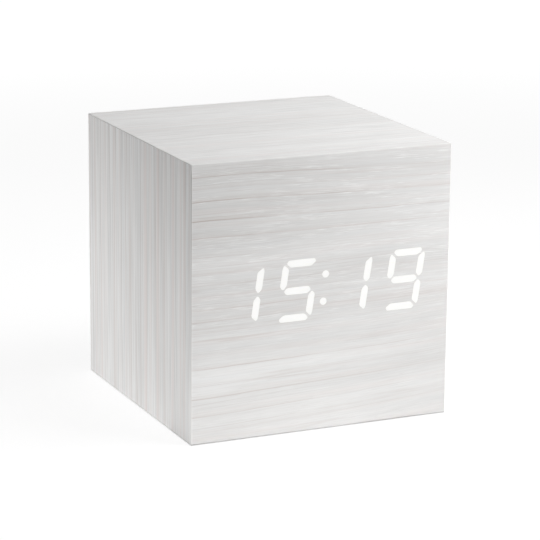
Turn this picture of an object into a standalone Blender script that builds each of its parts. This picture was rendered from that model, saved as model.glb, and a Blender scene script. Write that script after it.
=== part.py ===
"""A wooden cube alarm clock whose time glows through its front veneer.

Metres, +Z up, the front towards -Y. The origin is the middle of the base, on the ground.
"""

import math

import bmesh
import bpy
from mathutils import Matrix, Vector

# Cube of veneered boards
VENEER = 0.0005  # thickness of the outer sheets
EDGE_BAND = 0.0005  # thickness of the band on the boards' rear ends
BOARD = 0.004  # thickness of the boards
BLOCK = 0.0065  # side of a corner block's square section
BLOCK_LENGTH = 0.016
GLUE_LINE = 0.0001  # between glued, soldered or pressed faces
FIT_GAP = 0.0003  # round pieces that go into or rest on each other
CUT_OVERRUN = 0.001  # by which a cut passes through a wall

# Time display
SHOWN_TIME = "15:19"
DIGIT_HEIGHT = 0.0144
DIGIT_COLUMNS = 0.00744  # between the middles of a digit's left and right bars
BAR = 0.00165  # width of a lit bar
DIGIT_SPACE = 0.0039  # between the lenses of neighbouring digits
SLANT_SHARE = 0.147  # sideways lean of the digits, as a share of the height
DISPLAY_X = 0.00045  # of its middle to the right of the middle of the front
DISPLAY_RISE = 0.0013  # of its middle above the middle of the front
DISPLAY_MARGIN = 0.0008  # least distance of its window from the side boards
COLON_SLANT_SHARE = 0.08  # the dots of the colon lean over less
COLON_DOT = 0.0017
COLON_DOTS_APART = 0.0064
COLON_LENS_WIDTH = 0.0026
LENS = 0.0009  # thickness of a lens plate
LENS_MARGIN = 0.0003  # of a lens plate beyond its digit
REFLECTOR_MARGIN = 0.0009  # of the reflector above and below the lens plates
LED_CHIP = 0.0009
LED_CHIP_HEIGHT = 0.0005

# Circuit boards and what they carry
CIRCUIT_BOARD = 0.0016  # thickness
BOARD_MARGIN = 0.004  # of the display board above and below its window
BOARD_SCREW_INSET = 0.0023  # of a screw from the edge of its board
HEADER_WIDTH = 0.009
HEADER_DEPTH = 0.0026
HEADER_HEIGHT = 0.003
RIBBON_WIDTH = 0.0076
RIBBON = 0.0009  # thickness
CHIP_LENGTH = 0.0128
CHIP_WIDTH = 0.0075
CHIP_HEIGHT = 0.0022
CHIP_LEG = 0.00045
CHIP_LEG_REACH = 0.0012
CHIP_LEG_PITCH = 0.00127
CHIP_LEGS_A_SIDE = 9
CAPACITOR_D = 0.005
CAPACITOR_HEIGHT = 0.007
BUZZER_D = 0.0095
BUZZER_HEIGHT = 0.005
BUZZER_HOLE_D = 0.0022
CRYSTAL_LENGTH = 0.006
CRYSTAL_WIDTH = 0.0022

# Rear cover
COVER = 0.0024  # thickness of its plate
COVER_RECESS = 0.001  # of the plate below the rear edge of the case
WELL_WALL = 0.0012
WELL_MARGIN = 0.002  # least distance of the well from the side boards
SOUND_SLOT_LENGTH = 0.0032
SOUND_SLOT_WIDTH = 0.001
SOUND_SLOT_PITCH = 0.0022
SOUND_SLOTS = 7
SOUND_SLOTS_INSET = 0.0027  # of their middle from the lower edge of the cover
FINGER_RECESS_RADIUS = 0.0038
FINGER_RECESS_DEPTH = 0.001

# Screws
SCREW_D = 0.002
SCREW_HEAD_D = 0.0038
SCREW_HEAD = 0.0013
SCREW_FIT = 0.0001  # round a shank in its pilot hole
SCREW_PASSAGE = 0.0003  # round a shank in the piece that it holds
COUNTERBORE = 0.0008
COVER_SCREW_LENGTH = 0.009
BOARD_SCREW_LENGTH = 0.005

# Battery cells, contacts and leads
CELL_D = 0.0105
CELL_LENGTH = 0.0445
CELL_SPACE = 0.0005  # between neighbouring cells
CELL_NUB_D = 0.0038
CELL_NUB = 0.0008
CONTACT_SPACE = 0.00245  # at each end of the cells
CONTACT = 0.0003  # thickness of the sheet
CONTACT_WIDTH = 0.0078
DIMPLE = 0.0005
DIMPLE_D = 0.003
SPRING_WIRE = 0.0005
SPRING_D = 0.006
SPRING_TURNS = 2.5
SOLDER_TAB_WIDTH = 0.0024
SOLDER_TAB_REACH = 0.0015  # beyond the floor of the well
CELL_RIB = 0.0008
CELL_RIB_HEIGHT = 0.0026
CELL_RIB_LENGTH = 0.036
LEAD_D = 0.0012

# Battery hatch
HATCH = 0.0014  # thickness
HATCH_SPACE = 0.002  # between the hatch and the cells
HATCH_INSET = 0.0008  # of its ends from the inner walls of the well
LEDGE = 0.0007  # by which the cover carries each end of the hatch
HOOK = 0.0009
HOOK_WIDTH = 0.006
HOOK_PLACE = 0.014  # of each hook from the middle
HOOK_BITE = 0.0008  # behind the cover's edge
HOOK_ROOT = 0.0016  # below the hinge axis
LATCH_WIDTH = 0.009
LATCH_LENGTH = 0.005
LATCH_SLIT = 0.0006
LATCH_HOOK_WIDTH = 0.005
LATCH_HOOK = 0.0009
LATCH_HOOK_REACH = 0.0017
GRIP_RIDGES = 3
GRIP_RIDGE = 0.0005
GRIP_RIDGE_WIDTH = 0.006

# Buttons, switches, microphone and DC socket, all in one row
BUTTON_D = 0.0046
BUTTON_FLANGE_D = 0.006
BUTTON_FLANGE = 0.0008
BUTTON_PROUD = 0.0007
BUTTON_TRAVEL = 0.0006
SWITCH = 0.0045
SWITCH_HEIGHT = 0.003
SWITCH_BORE = 0.0022
PLUNGER_D = 0.0024
POST_D = 0.0034
MICROPHONE_D = 0.004
MICROPHONE_LENGTH = 0.0023
MICROPHONE_PIN = 0.0005
MICROPHONE_HOLE_D = 0.0015
SLEEVE_D = 0.005
SOCKET = 0.006
SOCKET_COLLAR_D = 0.0054
SOCKET_BORE_D = 0.0037
SOCKET_BORE = 0.0062
SOCKET_PIN_D = 0.0013
SOCKET_PIN_INSET = 0.001  # of its end from the mouth of the socket
ROW_HEIGHT = 0.01  # least height of the control board
ROW_MARGIN = 0.0005  # of the row's end posts from the ends of the control board
ROW_CLEARANCE = 0.0006  # of the control board from the well and from the top board

# How round pieces are faceted
SIDES_LARGE = 28
SIDES_SMALL = 16
SIDES_FINE = 12
SPRING_POINTS_A_TURN = 10
SHARP_ANGLE = math.radians(35)
VERTEX_MERGE = 0.0000005

# Sizes that follow from the cells and from the digits
CELL_PITCH = CELL_D + CELL_SPACE
CELL_STACK_HALF = CELL_PITCH + CELL_D / 2
HATCH_HALF_X = CELL_LENGTH / 2 + CONTACT_SPACE - HATCH_INSET
HATCH_HALF_Z = CELL_STACK_HALF
HINGE_ABOVE_CELLS = HATCH_HALF_Z - HATCH / 2
HOOK_TOP = HATCH / 2 + FIT_GAP + HOOK_BITE
WELL_HALF_X = CELL_LENGTH / 2 + CONTACT_SPACE
WELL_HALF_Z = HINGE_ABOVE_CELLS + HOOK_TOP + FIT_GAP
CONTACT_FACE = WELL_HALF_X - GLUE_LINE - CONTACT

LENS_HALF_WIDTH = (DIGIT_COLUMNS + BAR) / 2 + LENS_MARGIN
LENS_HALF_HEIGHT = DIGIT_HEIGHT / 2 + LENS_MARGIN
DIGIT_PITCH = 2 * LENS_HALF_WIDTH + DIGIT_SPACE
REFLECTOR_HALF_HEIGHT = LENS_HALF_HEIGHT + REFLECTOR_MARGIN
DIGIT_STEPS = (-1.5, -0.5, 0.5, 1.5)  # of the digits from the colon, in pitches
REFLECTOR_HALF_WIDTH = DIGIT_STEPS[-1] * DIGIT_PITCH + LENS_HALF_WIDTH + SLANT_SHARE * LENS_HALF_HEIGHT
WINDOW_HALF_WIDTH = REFLECTOR_HALF_WIDTH + FIT_GAP
WINDOW_HALF_HEIGHT = REFLECTOR_HALF_HEIGHT + FIT_GAP

# Side of the cube: as large as its cells in their well, its row of controls and its display need
CASE_WALL = VENEER + GLUE_LINE + BOARD
SIDE_FOR_CELLS = 2 * (CASE_WALL + WELL_MARGIN + WELL_WALL + WELL_HALF_X)
SIDE_FOR_DISPLAY = 2 * (CASE_WALL + DISPLAY_MARGIN + WINDOW_HALF_WIDTH + DISPLAY_X)
WELL_HEIGHT = 2 * (WELL_HALF_Z + WELL_WALL)
SIDE_FOR_ROW = 2 * (CASE_WALL + ROW_CLEARANCE) + GLUE_LINE + BLOCK + FIT_GAP + WELL_HEIGHT + ROW_HEIGHT
SIDE = max(SIDE_FOR_CELLS, SIDE_FOR_DISPLAY, SIDE_FOR_ROW)

# Places shared by several pieces, measured from the middle of the cube unless they are heights
HALF = SIDE / 2
BOARD_OUTER = HALF - VENEER - GLUE_LINE
BOARD_INNER = BOARD_OUTER - BOARD
BLOCK_OUTER = BOARD_INNER - GLUE_LINE
BLOCK_INNER = BLOCK_OUTER - BLOCK
BLOCK_PLACE = BLOCK_OUTER - BLOCK / 2

COVER_OUTER = HALF - COVER_RECESS
COVER_INNER = COVER_OUTER - COVER
COVER_HALF = BOARD_INNER - FIT_GAP
BLOCK_REAR = COVER_INNER - FIT_GAP
COVER_SCREW_SEAT = COVER_OUTER - COUNTERBORE + GLUE_LINE

HATCH_INNER = COVER_OUTER - HATCH
CELL_Y = HATCH_INNER - HATCH_SPACE - CELL_D / 2
CELL_Z = HALF - BLOCK_INNER + FIT_GAP + WELL_HEIGHT / 2
HINGE_Y = COVER_OUTER - HATCH / 2
HINGE_Z = CELL_Z + HINGE_ABOVE_CELLS
WELL_FLOOR = CELL_Y - CELL_D / 2 - FIT_GAP
WELL_FLOOR_OUTER = WELL_FLOOR - WELL_WALL

ROW_BOTTOM = CELL_Z + WELL_HEIGHT / 2 + ROW_CLEARANCE
ROW_TOP = HALF + BOARD_INNER - ROW_CLEARANCE
ROW_Z = (ROW_BOTTOM + ROW_TOP) / 2
FLANGE_REAR = COVER_INNER - FIT_GAP
FLANGE_FRONT = FLANGE_REAR - BUTTON_FLANGE
SWITCH_REAR = FLANGE_FRONT - BUTTON_TRAVEL - FIT_GAP
SWITCH_FRONT = SWITCH_REAR - SWITCH_HEIGHT
CONTROL_BOARD_REAR = SWITCH_FRONT - GLUE_LINE
CONTROL_BOARD_FRONT = CONTROL_BOARD_REAR - CIRCUIT_BOARD
CONTROL_BOARD_HALF = BLOCK_INNER - 2 * FIT_GAP

DISPLAY_Z = HALF + DISPLAY_RISE
LENS_REAR = -BOARD_OUTER + LENS
DISPLAY_BOARD_FRONT = -BOARD_INNER + GLUE_LINE
DISPLAY_BOARD_REAR = DISPLAY_BOARD_FRONT + CIRCUIT_BOARD
DISPLAY_BOARD_HALF_X = COVER_HALF
DISPLAY_BOARD_HALF_Z = WINDOW_HALF_HEIGHT + BOARD_MARGIN
DISPLAY_SCREW_X = DISPLAY_BOARD_HALF_X - BOARD_SCREW_INSET
DISPLAY_SCREW_Z = DISPLAY_BOARD_HALF_Z - BOARD_SCREW_INSET

LEFT, RIGHT, FRONT, REAR, DOWN, UP = (
    Vector(way) for way in ((-1, 0, 0), (1, 0, 0), (0, -1, 0), (0, 1, 0), (0, 0, -1), (0, 0, 1))
)

# Colour, roughness and metallic value of each finish
FINISHES = {
    "veneer": ((0.71, 0.69, 0.66), 0.5, 0.0),
    "fibreboard": ((0.36, 0.24, 0.14), 0.85, 0.0),
    "pine": ((0.60, 0.43, 0.24), 0.7, 0.0),
    "lit lens": ((0.98, 0.98, 0.96), 0.3, 0.0),
    "white plastic": ((0.85, 0.85, 0.83), 0.5, 0.0),
    "black plastic": ((0.018, 0.018, 0.02), 0.45, 0.0),
    "rubber": ((0.02, 0.02, 0.02), 0.8, 0.0),
    "circuit board": ((0.03, 0.16, 0.07), 0.4, 0.0),
    "chip resin": ((0.02, 0.02, 0.022), 0.55, 0.0),
    "steel": ((0.62, 0.62, 0.60), 0.3, 1.0),
    "black steel": ((0.06, 0.06, 0.065), 0.35, 1.0),
    "nickel": ((0.72, 0.69, 0.62), 0.25, 1.0),
    "capacitor sleeve": ((0.03, 0.04, 0.12), 0.4, 0.0),
    "cell wrapper": ((0.08, 0.10, 0.13), 0.35, 0.2),
    "grey ribbon": ((0.45, 0.45, 0.46), 0.5, 0.0),
    "red wire": ((0.55, 0.02, 0.02), 0.45, 0.0),
    "black wire": ((0.02, 0.02, 0.02), 0.45, 0.0),
}


def mesh_of(shape):
    """The mesh of a bmesh shape, with its faces pointing out."""
    bmesh.ops.recalc_face_normals(shape, faces=shape.faces)
    mesh = bpy.data.meshes.new("solid")
    shape.to_mesh(mesh)
    shape.free()
    return mesh


def lofted(near, far):
    """Closed solid between two rings of as many points."""
    shape = bmesh.new()
    rings = [[shape.verts.new(point) for point in ring] for ring in (near, far)]
    for ring in rings:
        shape.faces.new(ring)
    for i, point in enumerate(rings[0]):
        shape.faces.new((rings[0][i - 1], point, rings[1][i], rings[1][i - 1]))
    return mesh_of(shape)


def prism(axis, outline, start, end):
    """Outline of two coordinates carried from start to end along X, Y or Z."""
    index = "XYZ".index(axis)

    def ring(place):
        return [(*point[:index], place, *point[index:]) for point in outline]

    return lofted(ring(start), ring(end))


def rectangle(half_u, half_v, middle_u=0, middle_v=0):
    signs = ((-1, -1), (1, -1), (1, 1), (-1, 1))
    return [(middle_u + u * half_u, middle_v + v * half_v) for u, v in signs]


def circle(radius, sides, middle_u=0, middle_v=0):
    turns = [2 * math.pi * i / sides for i in range(sides)]
    return [(middle_u + radius * math.cos(t), middle_v + radius * math.sin(t)) for t in turns]


def turned(profile, sides, base, way):
    """Solid of (radius, distance) points turned about the line from base along way."""
    shape = bmesh.new()
    points = [shape.verts.new((radius, 0, along)) for radius, along in profile]
    edges = [shape.edges.new(ends) for ends in zip(points, points[1:])]
    turn = {"cent": (0, 0, 0), "axis": UP, "angle": 2 * math.pi, "steps": sides, "use_merge": True}
    bmesh.ops.spin(shape, geom=points + edges, **turn)
    bmesh.ops.remove_doubles(shape, verts=shape.verts, dist=VERTEX_MERGE)
    place = Matrix.Translation(base) @ UP.rotation_difference(way).to_matrix().to_4x4()
    bmesh.ops.transform(shape, matrix=place, verts=shape.verts)
    return mesh_of(shape)


def rod(radius, start, length, way, sides=SIDES_SMALL):
    """Round rod from start along way."""
    return turned([(0, 0), (radius, 0), (radius, length), (0, length)], sides, start, way)


def chamfered_rod(radius, start, length, way, chamfer, sides=SIDES_SMALL):
    """Round rod with its far end chamfered."""
    profile = [(0, 0), (radius, 0), (radius, length - chamfer), (radius - chamfer, length), (0, length)]
    return turned(profile, sides, start, way)


def together(meshes):
    """One mesh of several that don't meet."""
    shape = bmesh.new()
    for mesh in meshes:
        shape.from_mesh(mesh)
    return mesh_of(shape)


def combined(base, joined=(), cut=()):
    """The base mesh with others joined to it, and then others cut from it."""
    scene = bpy.context.scene.collection
    holder = bpy.data.objects.new("holder", base)
    scene.objects.link(holder)
    helpers = []
    for operation, meshes in (("UNION", joined), ("DIFFERENCE", cut)):
        for mesh in meshes:
            helper = bpy.data.objects.new("helper", mesh)
            scene.objects.link(helper)
            helpers.append(helper)
            modifier = holder.modifiers.new(operation, "BOOLEAN")
            modifier.operation = operation
            modifier.object = helper
    graph = bpy.context.evaluated_depsgraph_get()
    result = bpy.data.meshes.new_from_object(holder.evaluated_get(graph))
    for helper in [holder, *helpers]:
        bpy.data.objects.remove(helper)
    return result


def finish(name, kind):
    """A material of its own for one piece, in one of the finishes."""
    colour, roughness, metallic = FINISHES[kind]
    material = bpy.data.materials.new(f"{name} {kind}")
    material.use_nodes = True
    shader = material.node_tree.nodes["Principled BSDF"]
    shader.inputs["Base Color"].default_value = (*colour, 1)
    shader.inputs["Roughness"].default_value = roughness
    shader.inputs["Metallic"].default_value = metallic
    material.diffuse_color = (*colour, 1)
    if kind == "lit lens":
        shader.inputs["Emission Color"].default_value = (*colour, 1)
        shader.inputs["Emission Strength"].default_value = 1
    return material


def piece(name, kind, mesh, origin=(0, 0, 0)):
    """A named object from a mesh in the cube's own coordinates, with its origin where it is given."""
    mesh = mesh.copy()
    mesh.name = name
    mesh.transform(Matrix.Translation(-Vector(origin)))
    mesh.materials.clear()
    mesh.materials.append(finish(name, kind))
    mesh.shade_smooth()
    mesh.set_sharp_from_angle(angle=SHARP_ANGLE)
    made = bpy.data.objects.new(name, mesh)
    made.location = origin
    bpy.context.scene.collection.objects.link(made)
    return made


def between(start, end, shares):
    """Points at shares of the way from start to end, with a share for each coordinate."""
    return [start + Vector(a * b for a, b in zip(end - start, point)) for point in shares]


def smooth_route(points, step):
    """Points about a step apart on one smooth curve through the route's points."""
    ends = [2 * points[0] - points[1], *points, 2 * points[-1] - points[-2]]
    route = [points[0]]
    for before, start, end, after in zip(ends, ends[1:], ends[2:], ends[3:]):
        length = (end - start).length
        leaving = (end - before).normalized() * length
        arriving = (after - start).normalized() * length
        count = max(1, round(length / step))
        for i in range(1, count + 1):
            t = i / count
            ends_part = start * (2 * t**3 - 3 * t**2 + 1) + end * (3 * t**2 - 2 * t**3)
            bends_part = leaving * (t**3 - 2 * t**2 + t) + arriving * (t**3 - t**2)
            route.append(ends_part + bends_part)
    return route


# Case: veneer sheets over boards, mitred where they meet


def mitred_panel(way, outer, thickness, rear=None):
    """Panel that faces way from the middle of the cube, mitred but where it ends at the rear."""
    setback = GLUE_LINE / math.sqrt(2)
    across = way.cross(REAR) if rear is not None else RIGHT
    along = REAR if rear is not None else UP
    rings = []
    for distance in (outer, outer - thickness):
        half = distance - setback
        corners = [(-half, -half), (half, -half), (half, half), (-half, half)]
        if rear is not None:
            corners = [(u, rear if v > 0 else v) for u, v in corners]
        rings.append([way * distance + across * u + along * v + UP * HALF for u, v in corners])
    return lofted(*rings)


CASE_SIDES = {"top": UP, "bottom": DOWN, "left": LEFT, "right": RIGHT}


def veneer_sheets():
    start = -HALF - CUT_OVERRUN
    windows = [prism("Y", grown(shape, GLUE_LINE), start, -BOARD_OUTER) for shape in lit_shapes()]
    sheet = mitred_panel(FRONT, HALF, VENEER)
    piece("front_veneer", "veneer", combined(sheet, cut=[together(windows)]))
    for name, way in CASE_SIDES.items():
        piece(f"{name}_veneer", "veneer", mitred_panel(way, HALF, VENEER, rear=HALF))
    band_front = HALF - EDGE_BAND
    band = prism("Y", rectangle(BOARD_OUTER, BOARD_OUTER, 0, HALF), band_front, HALF)
    opening = rectangle(BOARD_INNER, BOARD_INNER, 0, HALF)
    opening = prism("Y", opening, band_front - CUT_OVERRUN, HALF + CUT_OVERRUN)
    piece("rear_edge_band", "veneer", combined(band, cut=[opening]))


def boards():
    window = rectangle(WINDOW_HALF_WIDTH, WINDOW_HALF_HEIGHT, DISPLAY_X, DISPLAY_Z)
    cuts = [prism("Y", window, -BOARD_OUTER - CUT_OVERRUN, -BOARD_INNER + CUT_OVERRUN)]
    tip = DISPLAY_BOARD_REAR - BOARD_SCREW_LENGTH
    for x, z in display_screw_places():
        base = (x, tip - FIT_GAP, z)
        cuts.append(rod(SCREW_D / 2 + SCREW_FIT, base, BOARD_SCREW_LENGTH, REAR))
    panel = mitred_panel(FRONT, BOARD_OUTER, BOARD)
    piece("front_board", "fibreboard", combined(panel, cut=cuts))
    rear = HALF - EDGE_BAND - GLUE_LINE
    for name, way in CASE_SIDES.items():
        piece(f"{name}_board", "fibreboard", mitred_panel(way, BOARD_OUTER, BOARD, rear))


def corner_blocks():
    for height, up in (("upper", 1), ("lower", -1)):
        for side, right in (("left", -1), ("right", 1)):
            x = right * BLOCK_PLACE
            z = HALF + up * BLOCK_PLACE
            section = rectangle(BLOCK / 2, BLOCK / 2, x, z)
            block = prism("Y", section, BLOCK_REAR - BLOCK_LENGTH, BLOCK_REAR)
            tip = COVER_SCREW_SEAT - COVER_SCREW_LENGTH - FIT_GAP
            pilot = rod(SCREW_D / 2 + SCREW_FIT, (x, tip, z), BLOCK_REAR - tip + CUT_OVERRUN, REAR)
            piece(f"{height}_{side}_corner_block", "pine", combined(block, cut=[pilot]))


# Display: bars named as on any seven-bar digit, a at the top and then clockwise, g across the middle

LIT_BARS = {
    "0": "abcdef",
    "1": "bc",
    "2": "abdeg",
    "3": "abcdg",
    "4": "bcfg",
    "5": "acdfg",
    "6": "acdefg",
    "7": "abc",
    "8": "abcdefg",
    "9": "abcdfg",
}
# Ends of a bar, in shares of its width from where the middle lines of the bars cross:
# on its inner edge, at its tip and on its outer edge, and the tip's own shift outwards
LEVEL_END_SHARES = (-0.65, -0.02, -0.30, 0.08)
UPRIGHT_END_SHARES = (-0.75, -0.12, -0.55, 0.30)
MIDDLE_END_SHARES = (-0.63, -0.18)  # of the middle bar: its corners and its tip
WAIST_END_SHARES = (0.78, 0.18, 0.67)  # of an upright bar beside the middle bar


def bar_outline(bar):
    """Outline of one bar of an upright digit about its middle."""
    column = DIGIT_COLUMNS / 2
    level = (DIGIT_HEIGHT - BAR) / 2
    if bar == "g":
        corner, tip = (column + share * BAR for share in MIDDLE_END_SHARES)
        return [
            (-corner, -BAR / 2),
            (corner, -BAR / 2),
            (tip, 0),
            (corner, BAR / 2),
            (-corner, BAR / 2),
            (-tip, 0),
        ]
    if bar in "ad":
        up = 1 if bar == "a" else -1
        inner, tip, outer, shift = (share * BAR for share in LEVEL_END_SHARES)
        right = [
            (column + inner, up * (level - BAR / 2)),
            (column + tip, up * (level + shift)),
            (column + outer, up * (level + BAR / 2)),
        ]
        return right + [(-u, v) for u, v in reversed(right)]
    right = 1 if bar in "bc" else -1
    up = 1 if bar in "bf" else -1
    inner, tip, outer, shift = (share * BAR for share in UPRIGHT_END_SHARES)
    waist_inner, waist_tip, waist_outer = (share * BAR for share in WAIST_END_SHARES)
    return [
        (right * (column - BAR / 2), up * waist_inner),
        (right * column, up * waist_tip),
        (right * (column + BAR / 2), up * waist_outer),
        (right * (column + BAR / 2), up * (level + outer)),
        (right * (column + shift), up * (level + tip)),
        (right * (column - BAR / 2), up * (level + inner)),
    ]


def slanted(outline, middle_x):
    """An upright outline leaned over and put at its place on the front."""
    return [(middle_x + u + SLANT_SHARE * v, DISPLAY_Z + v) for u, v in outline]


def digit_places():
    return [DISPLAY_X + step * DIGIT_PITCH for step in DIGIT_STEPS]


def digit_bars(digit, middle_x):
    return [slanted(bar_outline(bar), middle_x) for bar in LIT_BARS[digit]]


def colon_dots():
    places = [-COLON_DOTS_APART / 2, COLON_DOTS_APART / 2]
    middles = [(DISPLAY_X + COLON_SLANT_SHARE * v, DISPLAY_Z + v) for v in places]
    return [circle(COLON_DOT / 2, SIDES_SMALL, *middle) for middle in middles]


def shown_digits():
    return zip(SHOWN_TIME.replace(":", ""), digit_places())


def lit_shapes():
    return [bar for digit, x in shown_digits() for bar in digit_bars(digit, x)] + colon_dots()


def grown(outline, margin):
    """A convex outline with every edge moved out by a margin."""
    points = [Vector(point) for point in outline]
    middle = sum(points, Vector((0, 0))) / len(points)
    result = []
    for before, point, after in zip(points[-1:] + points, points, points[1:] + points[:1]):
        normals = []
        for start, end in ((before, point), (point, after)):
            normal = Vector((end.y - start.y, start.x - end.x)).normalized()
            normals.append(normal if normal.dot(start - middle) > 0 else -normal)
        reach = normals[0] + normals[1]
        result.append(point + reach * (margin / reach.dot(normals[0])))
    return [tuple(point) for point in result]


def lens(name, half_width, middle_x, shapes):
    """Clear plate behind the veneer, whose lit shapes reach through it to its outer face."""
    plate = slanted(rectangle(half_width, LENS_HALF_HEIGHT), middle_x)
    plate = prism("Y", plate, -BOARD_OUTER, LENS_REAR)
    raised = together(prism("Y", shape, -HALF, LENS_REAR - LENS / 2) for shape in shapes)
    piece(name, "lit lens", combined(plate, joined=[raised]))


def display():
    names = ("first", "second", "third", "fourth")
    for name, (digit, x) in zip(names, shown_digits()):
        lens(f"{name}_digit_lens", LENS_HALF_WIDTH, x, digit_bars(digit, x))
    lens("colon_lens", COLON_LENS_WIDTH / 2, DISPLAY_X, colon_dots())

    outline = rectangle(REFLECTOR_HALF_WIDTH, REFLECTOR_HALF_HEIGHT, DISPLAY_X, DISPLAY_Z)
    front = LENS_REAR + GLUE_LINE
    block = prism("Y", outline, front, -BOARD_INNER)
    bars = [bar for x in digit_places() for bar in digit_bars("8", x)] + colon_dots()
    cells = [prism("Y", bar, front - CUT_OVERRUN, -BOARD_INNER + CUT_OVERRUN) for bar in bars]
    piece("display_reflector", "white plastic", combined(block, cut=[together(cells)]))


# Circuit boards

# Where the display board carries its parts, in shares of its half width and half height
CHIP_SPOT_SHARES = (-0.28, 0.05)
BUZZER_SPOT_SHARES = (0.55, -0.35)
CAPACITOR_SPOT_SHARES = (0.30, 0.45)
CRYSTAL_SPOT_SHARES = (-0.70, -0.50)
HEADER_SPOT_SHARES = (0, 0.78)
CHIP_STANDOFF_SHARE = 0.15
CAPACITOR_SHARES = ((0, 0), (1, 0), (1, 0.12), (0.90, 0.17), (1, 0.22), (1, 0.95), (0.90, 1), (0, 1))
BUZZER_SHARES = ((0, 0), (0.94, 0), (1, 0.08), (1, 0.92), (0.94, 1), (0, 1))
BUZZER_HOLE_SHARE = 0.3


def spot(shares):
    return shares[0] * DISPLAY_BOARD_HALF_X, DISPLAY_Z + shares[1] * DISPLAY_BOARD_HALF_Z


def display_screw_places():
    return [(side * DISPLAY_SCREW_X, DISPLAY_Z + side * DISPLAY_SCREW_Z) for side in (-1, 1)]


def display_board():
    half_x, half_z = DISPLAY_BOARD_HALF_X, DISPLAY_BOARD_HALF_Z
    board = prism("Y", rectangle(half_x, half_z, 0, DISPLAY_Z), DISPLAY_BOARD_FRONT, DISPLAY_BOARD_REAR)
    middle = (DISPLAY_BOARD_FRONT + DISPLAY_BOARD_REAR) / 2
    chips = []
    for x in digit_places():
        for bar in digit_bars("8", x):
            u, v = (sum(values) / len(bar) for values in zip(*bar))
            chips.append(rectangle(LED_CHIP / 2, LED_CHIP / 2, u, v))
    for dot in colon_dots():
        u, v = (sum(values) / len(dot) for values in zip(*dot))
        chips.append(rectangle(LED_CHIP / 2, LED_CHIP / 2, u, v))
    chips = [prism("Y", chip, DISPLAY_BOARD_FRONT - LED_CHIP_HEIGHT, middle) for chip in chips]
    header = rectangle(HEADER_WIDTH / 2, HEADER_DEPTH / 2, *spot(HEADER_SPOT_SHARES))
    header = prism("Y", header, middle, DISPLAY_BOARD_REAR + HEADER_HEIGHT)
    crystal = rectangle(CRYSTAL_LENGTH / 2, CRYSTAL_WIDTH / 2, *spot(CRYSTAL_SPOT_SHARES))
    crystal = prism("Y", crystal, middle, DISPLAY_BOARD_REAR + CRYSTAL_WIDTH)
    holes = []
    for x, z in display_screw_places():
        start = (x, DISPLAY_BOARD_FRONT - CUT_OVERRUN, z)
        holes.append(rod(SCREW_D / 2 + SCREW_PASSAGE, start, CIRCUIT_BOARD + 2 * CUT_OVERRUN, REAR))
    mesh = combined(board, joined=[together([*chips, header, crystal])], cut=holes)
    piece("display_board", "circuit board", mesh)


def clock_chip():
    x, z = spot(CHIP_SPOT_SHARES)
    foot = DISPLAY_BOARD_REAR + GLUE_LINE
    bottom = foot + CHIP_STANDOFF_SHARE * CHIP_HEIGHT
    body = rectangle(CHIP_LENGTH / 2, CHIP_WIDTH / 2, x, z)
    body = prism("Y", body, bottom, foot + CHIP_HEIGHT)
    knee = foot + CHIP_HEIGHT / 2
    legs = []
    for i in range(CHIP_LEGS_A_SIDE):
        leg_x = x + (i - (CHIP_LEGS_A_SIDE - 1) / 2) * CHIP_LEG_PITCH
        ends = (leg_x - CHIP_LEG / 2, leg_x + CHIP_LEG / 2)
        for side in (-1, 1):
            inside = z + side * (CHIP_WIDTH / 2 - CHIP_LEG)
            elbow = z + side * (CHIP_WIDTH / 2 + CHIP_LEG_REACH - CHIP_LEG)
            toe = z + side * (CHIP_WIDTH / 2 + CHIP_LEG_REACH)
            outline = [
                (knee - CHIP_LEG / 2, inside),
                (knee - CHIP_LEG / 2, elbow),
                (foot, elbow),
                (foot, toe),
                (knee + CHIP_LEG / 2, toe),
                (knee + CHIP_LEG / 2, inside),
            ]
            legs.append(prism("X", outline, *ends))
    piece("clock_chip", "chip resin", combined(body, joined=[together(legs)]))


def scaled(shares, radius, height):
    return [(radius * r, height * h) for r, h in shares]


def display_board_parts():
    foot = DISPLAY_BOARD_REAR + GLUE_LINE
    x, z = spot(CAPACITOR_SPOT_SHARES)
    profile = scaled(CAPACITOR_SHARES, CAPACITOR_D / 2, CAPACITOR_HEIGHT)
    piece("capacitor", "capacitor sleeve", turned(profile, SIDES_SMALL, (x, foot, z), REAR))
    x, z = spot(BUZZER_SPOT_SHARES)
    profile = scaled(BUZZER_SHARES, BUZZER_D / 2, BUZZER_HEIGHT)
    body = turned(profile, SIDES_LARGE, (x, foot, z), REAR)
    hole_start = (x, foot + (1 - BUZZER_HOLE_SHARE) * BUZZER_HEIGHT, z)
    hole = rod(BUZZER_HOLE_D / 2, hole_start, BUZZER_HEIGHT, REAR)
    piece("buzzer", "black plastic", combined(body, cut=[hole]))


def row_places():
    """Middles of what stands in the row behind the cover, from the left end to the right."""
    widths = [POST_D, SOCKET, SLEEVE_D, BUTTON_FLANGE_D, BUTTON_FLANGE_D, BUTTON_FLANGE_D, POST_D]
    start = ROW_MARGIN - CONTROL_BOARD_HALF
    space = (-2 * start - sum(widths)) / (len(widths) - 1)
    places = []
    for width in widths:
        places.append(start + width / 2)
        start += width + space
    return places


LEFT_POST_X, SOCKET_X, MICROPHONE_X, DOWN_X, UP_X, MODE_X, RIGHT_POST_X = row_places()
BUTTON_PLACES = {"down": DOWN_X, "up": UP_X, "mode": MODE_X}


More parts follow.
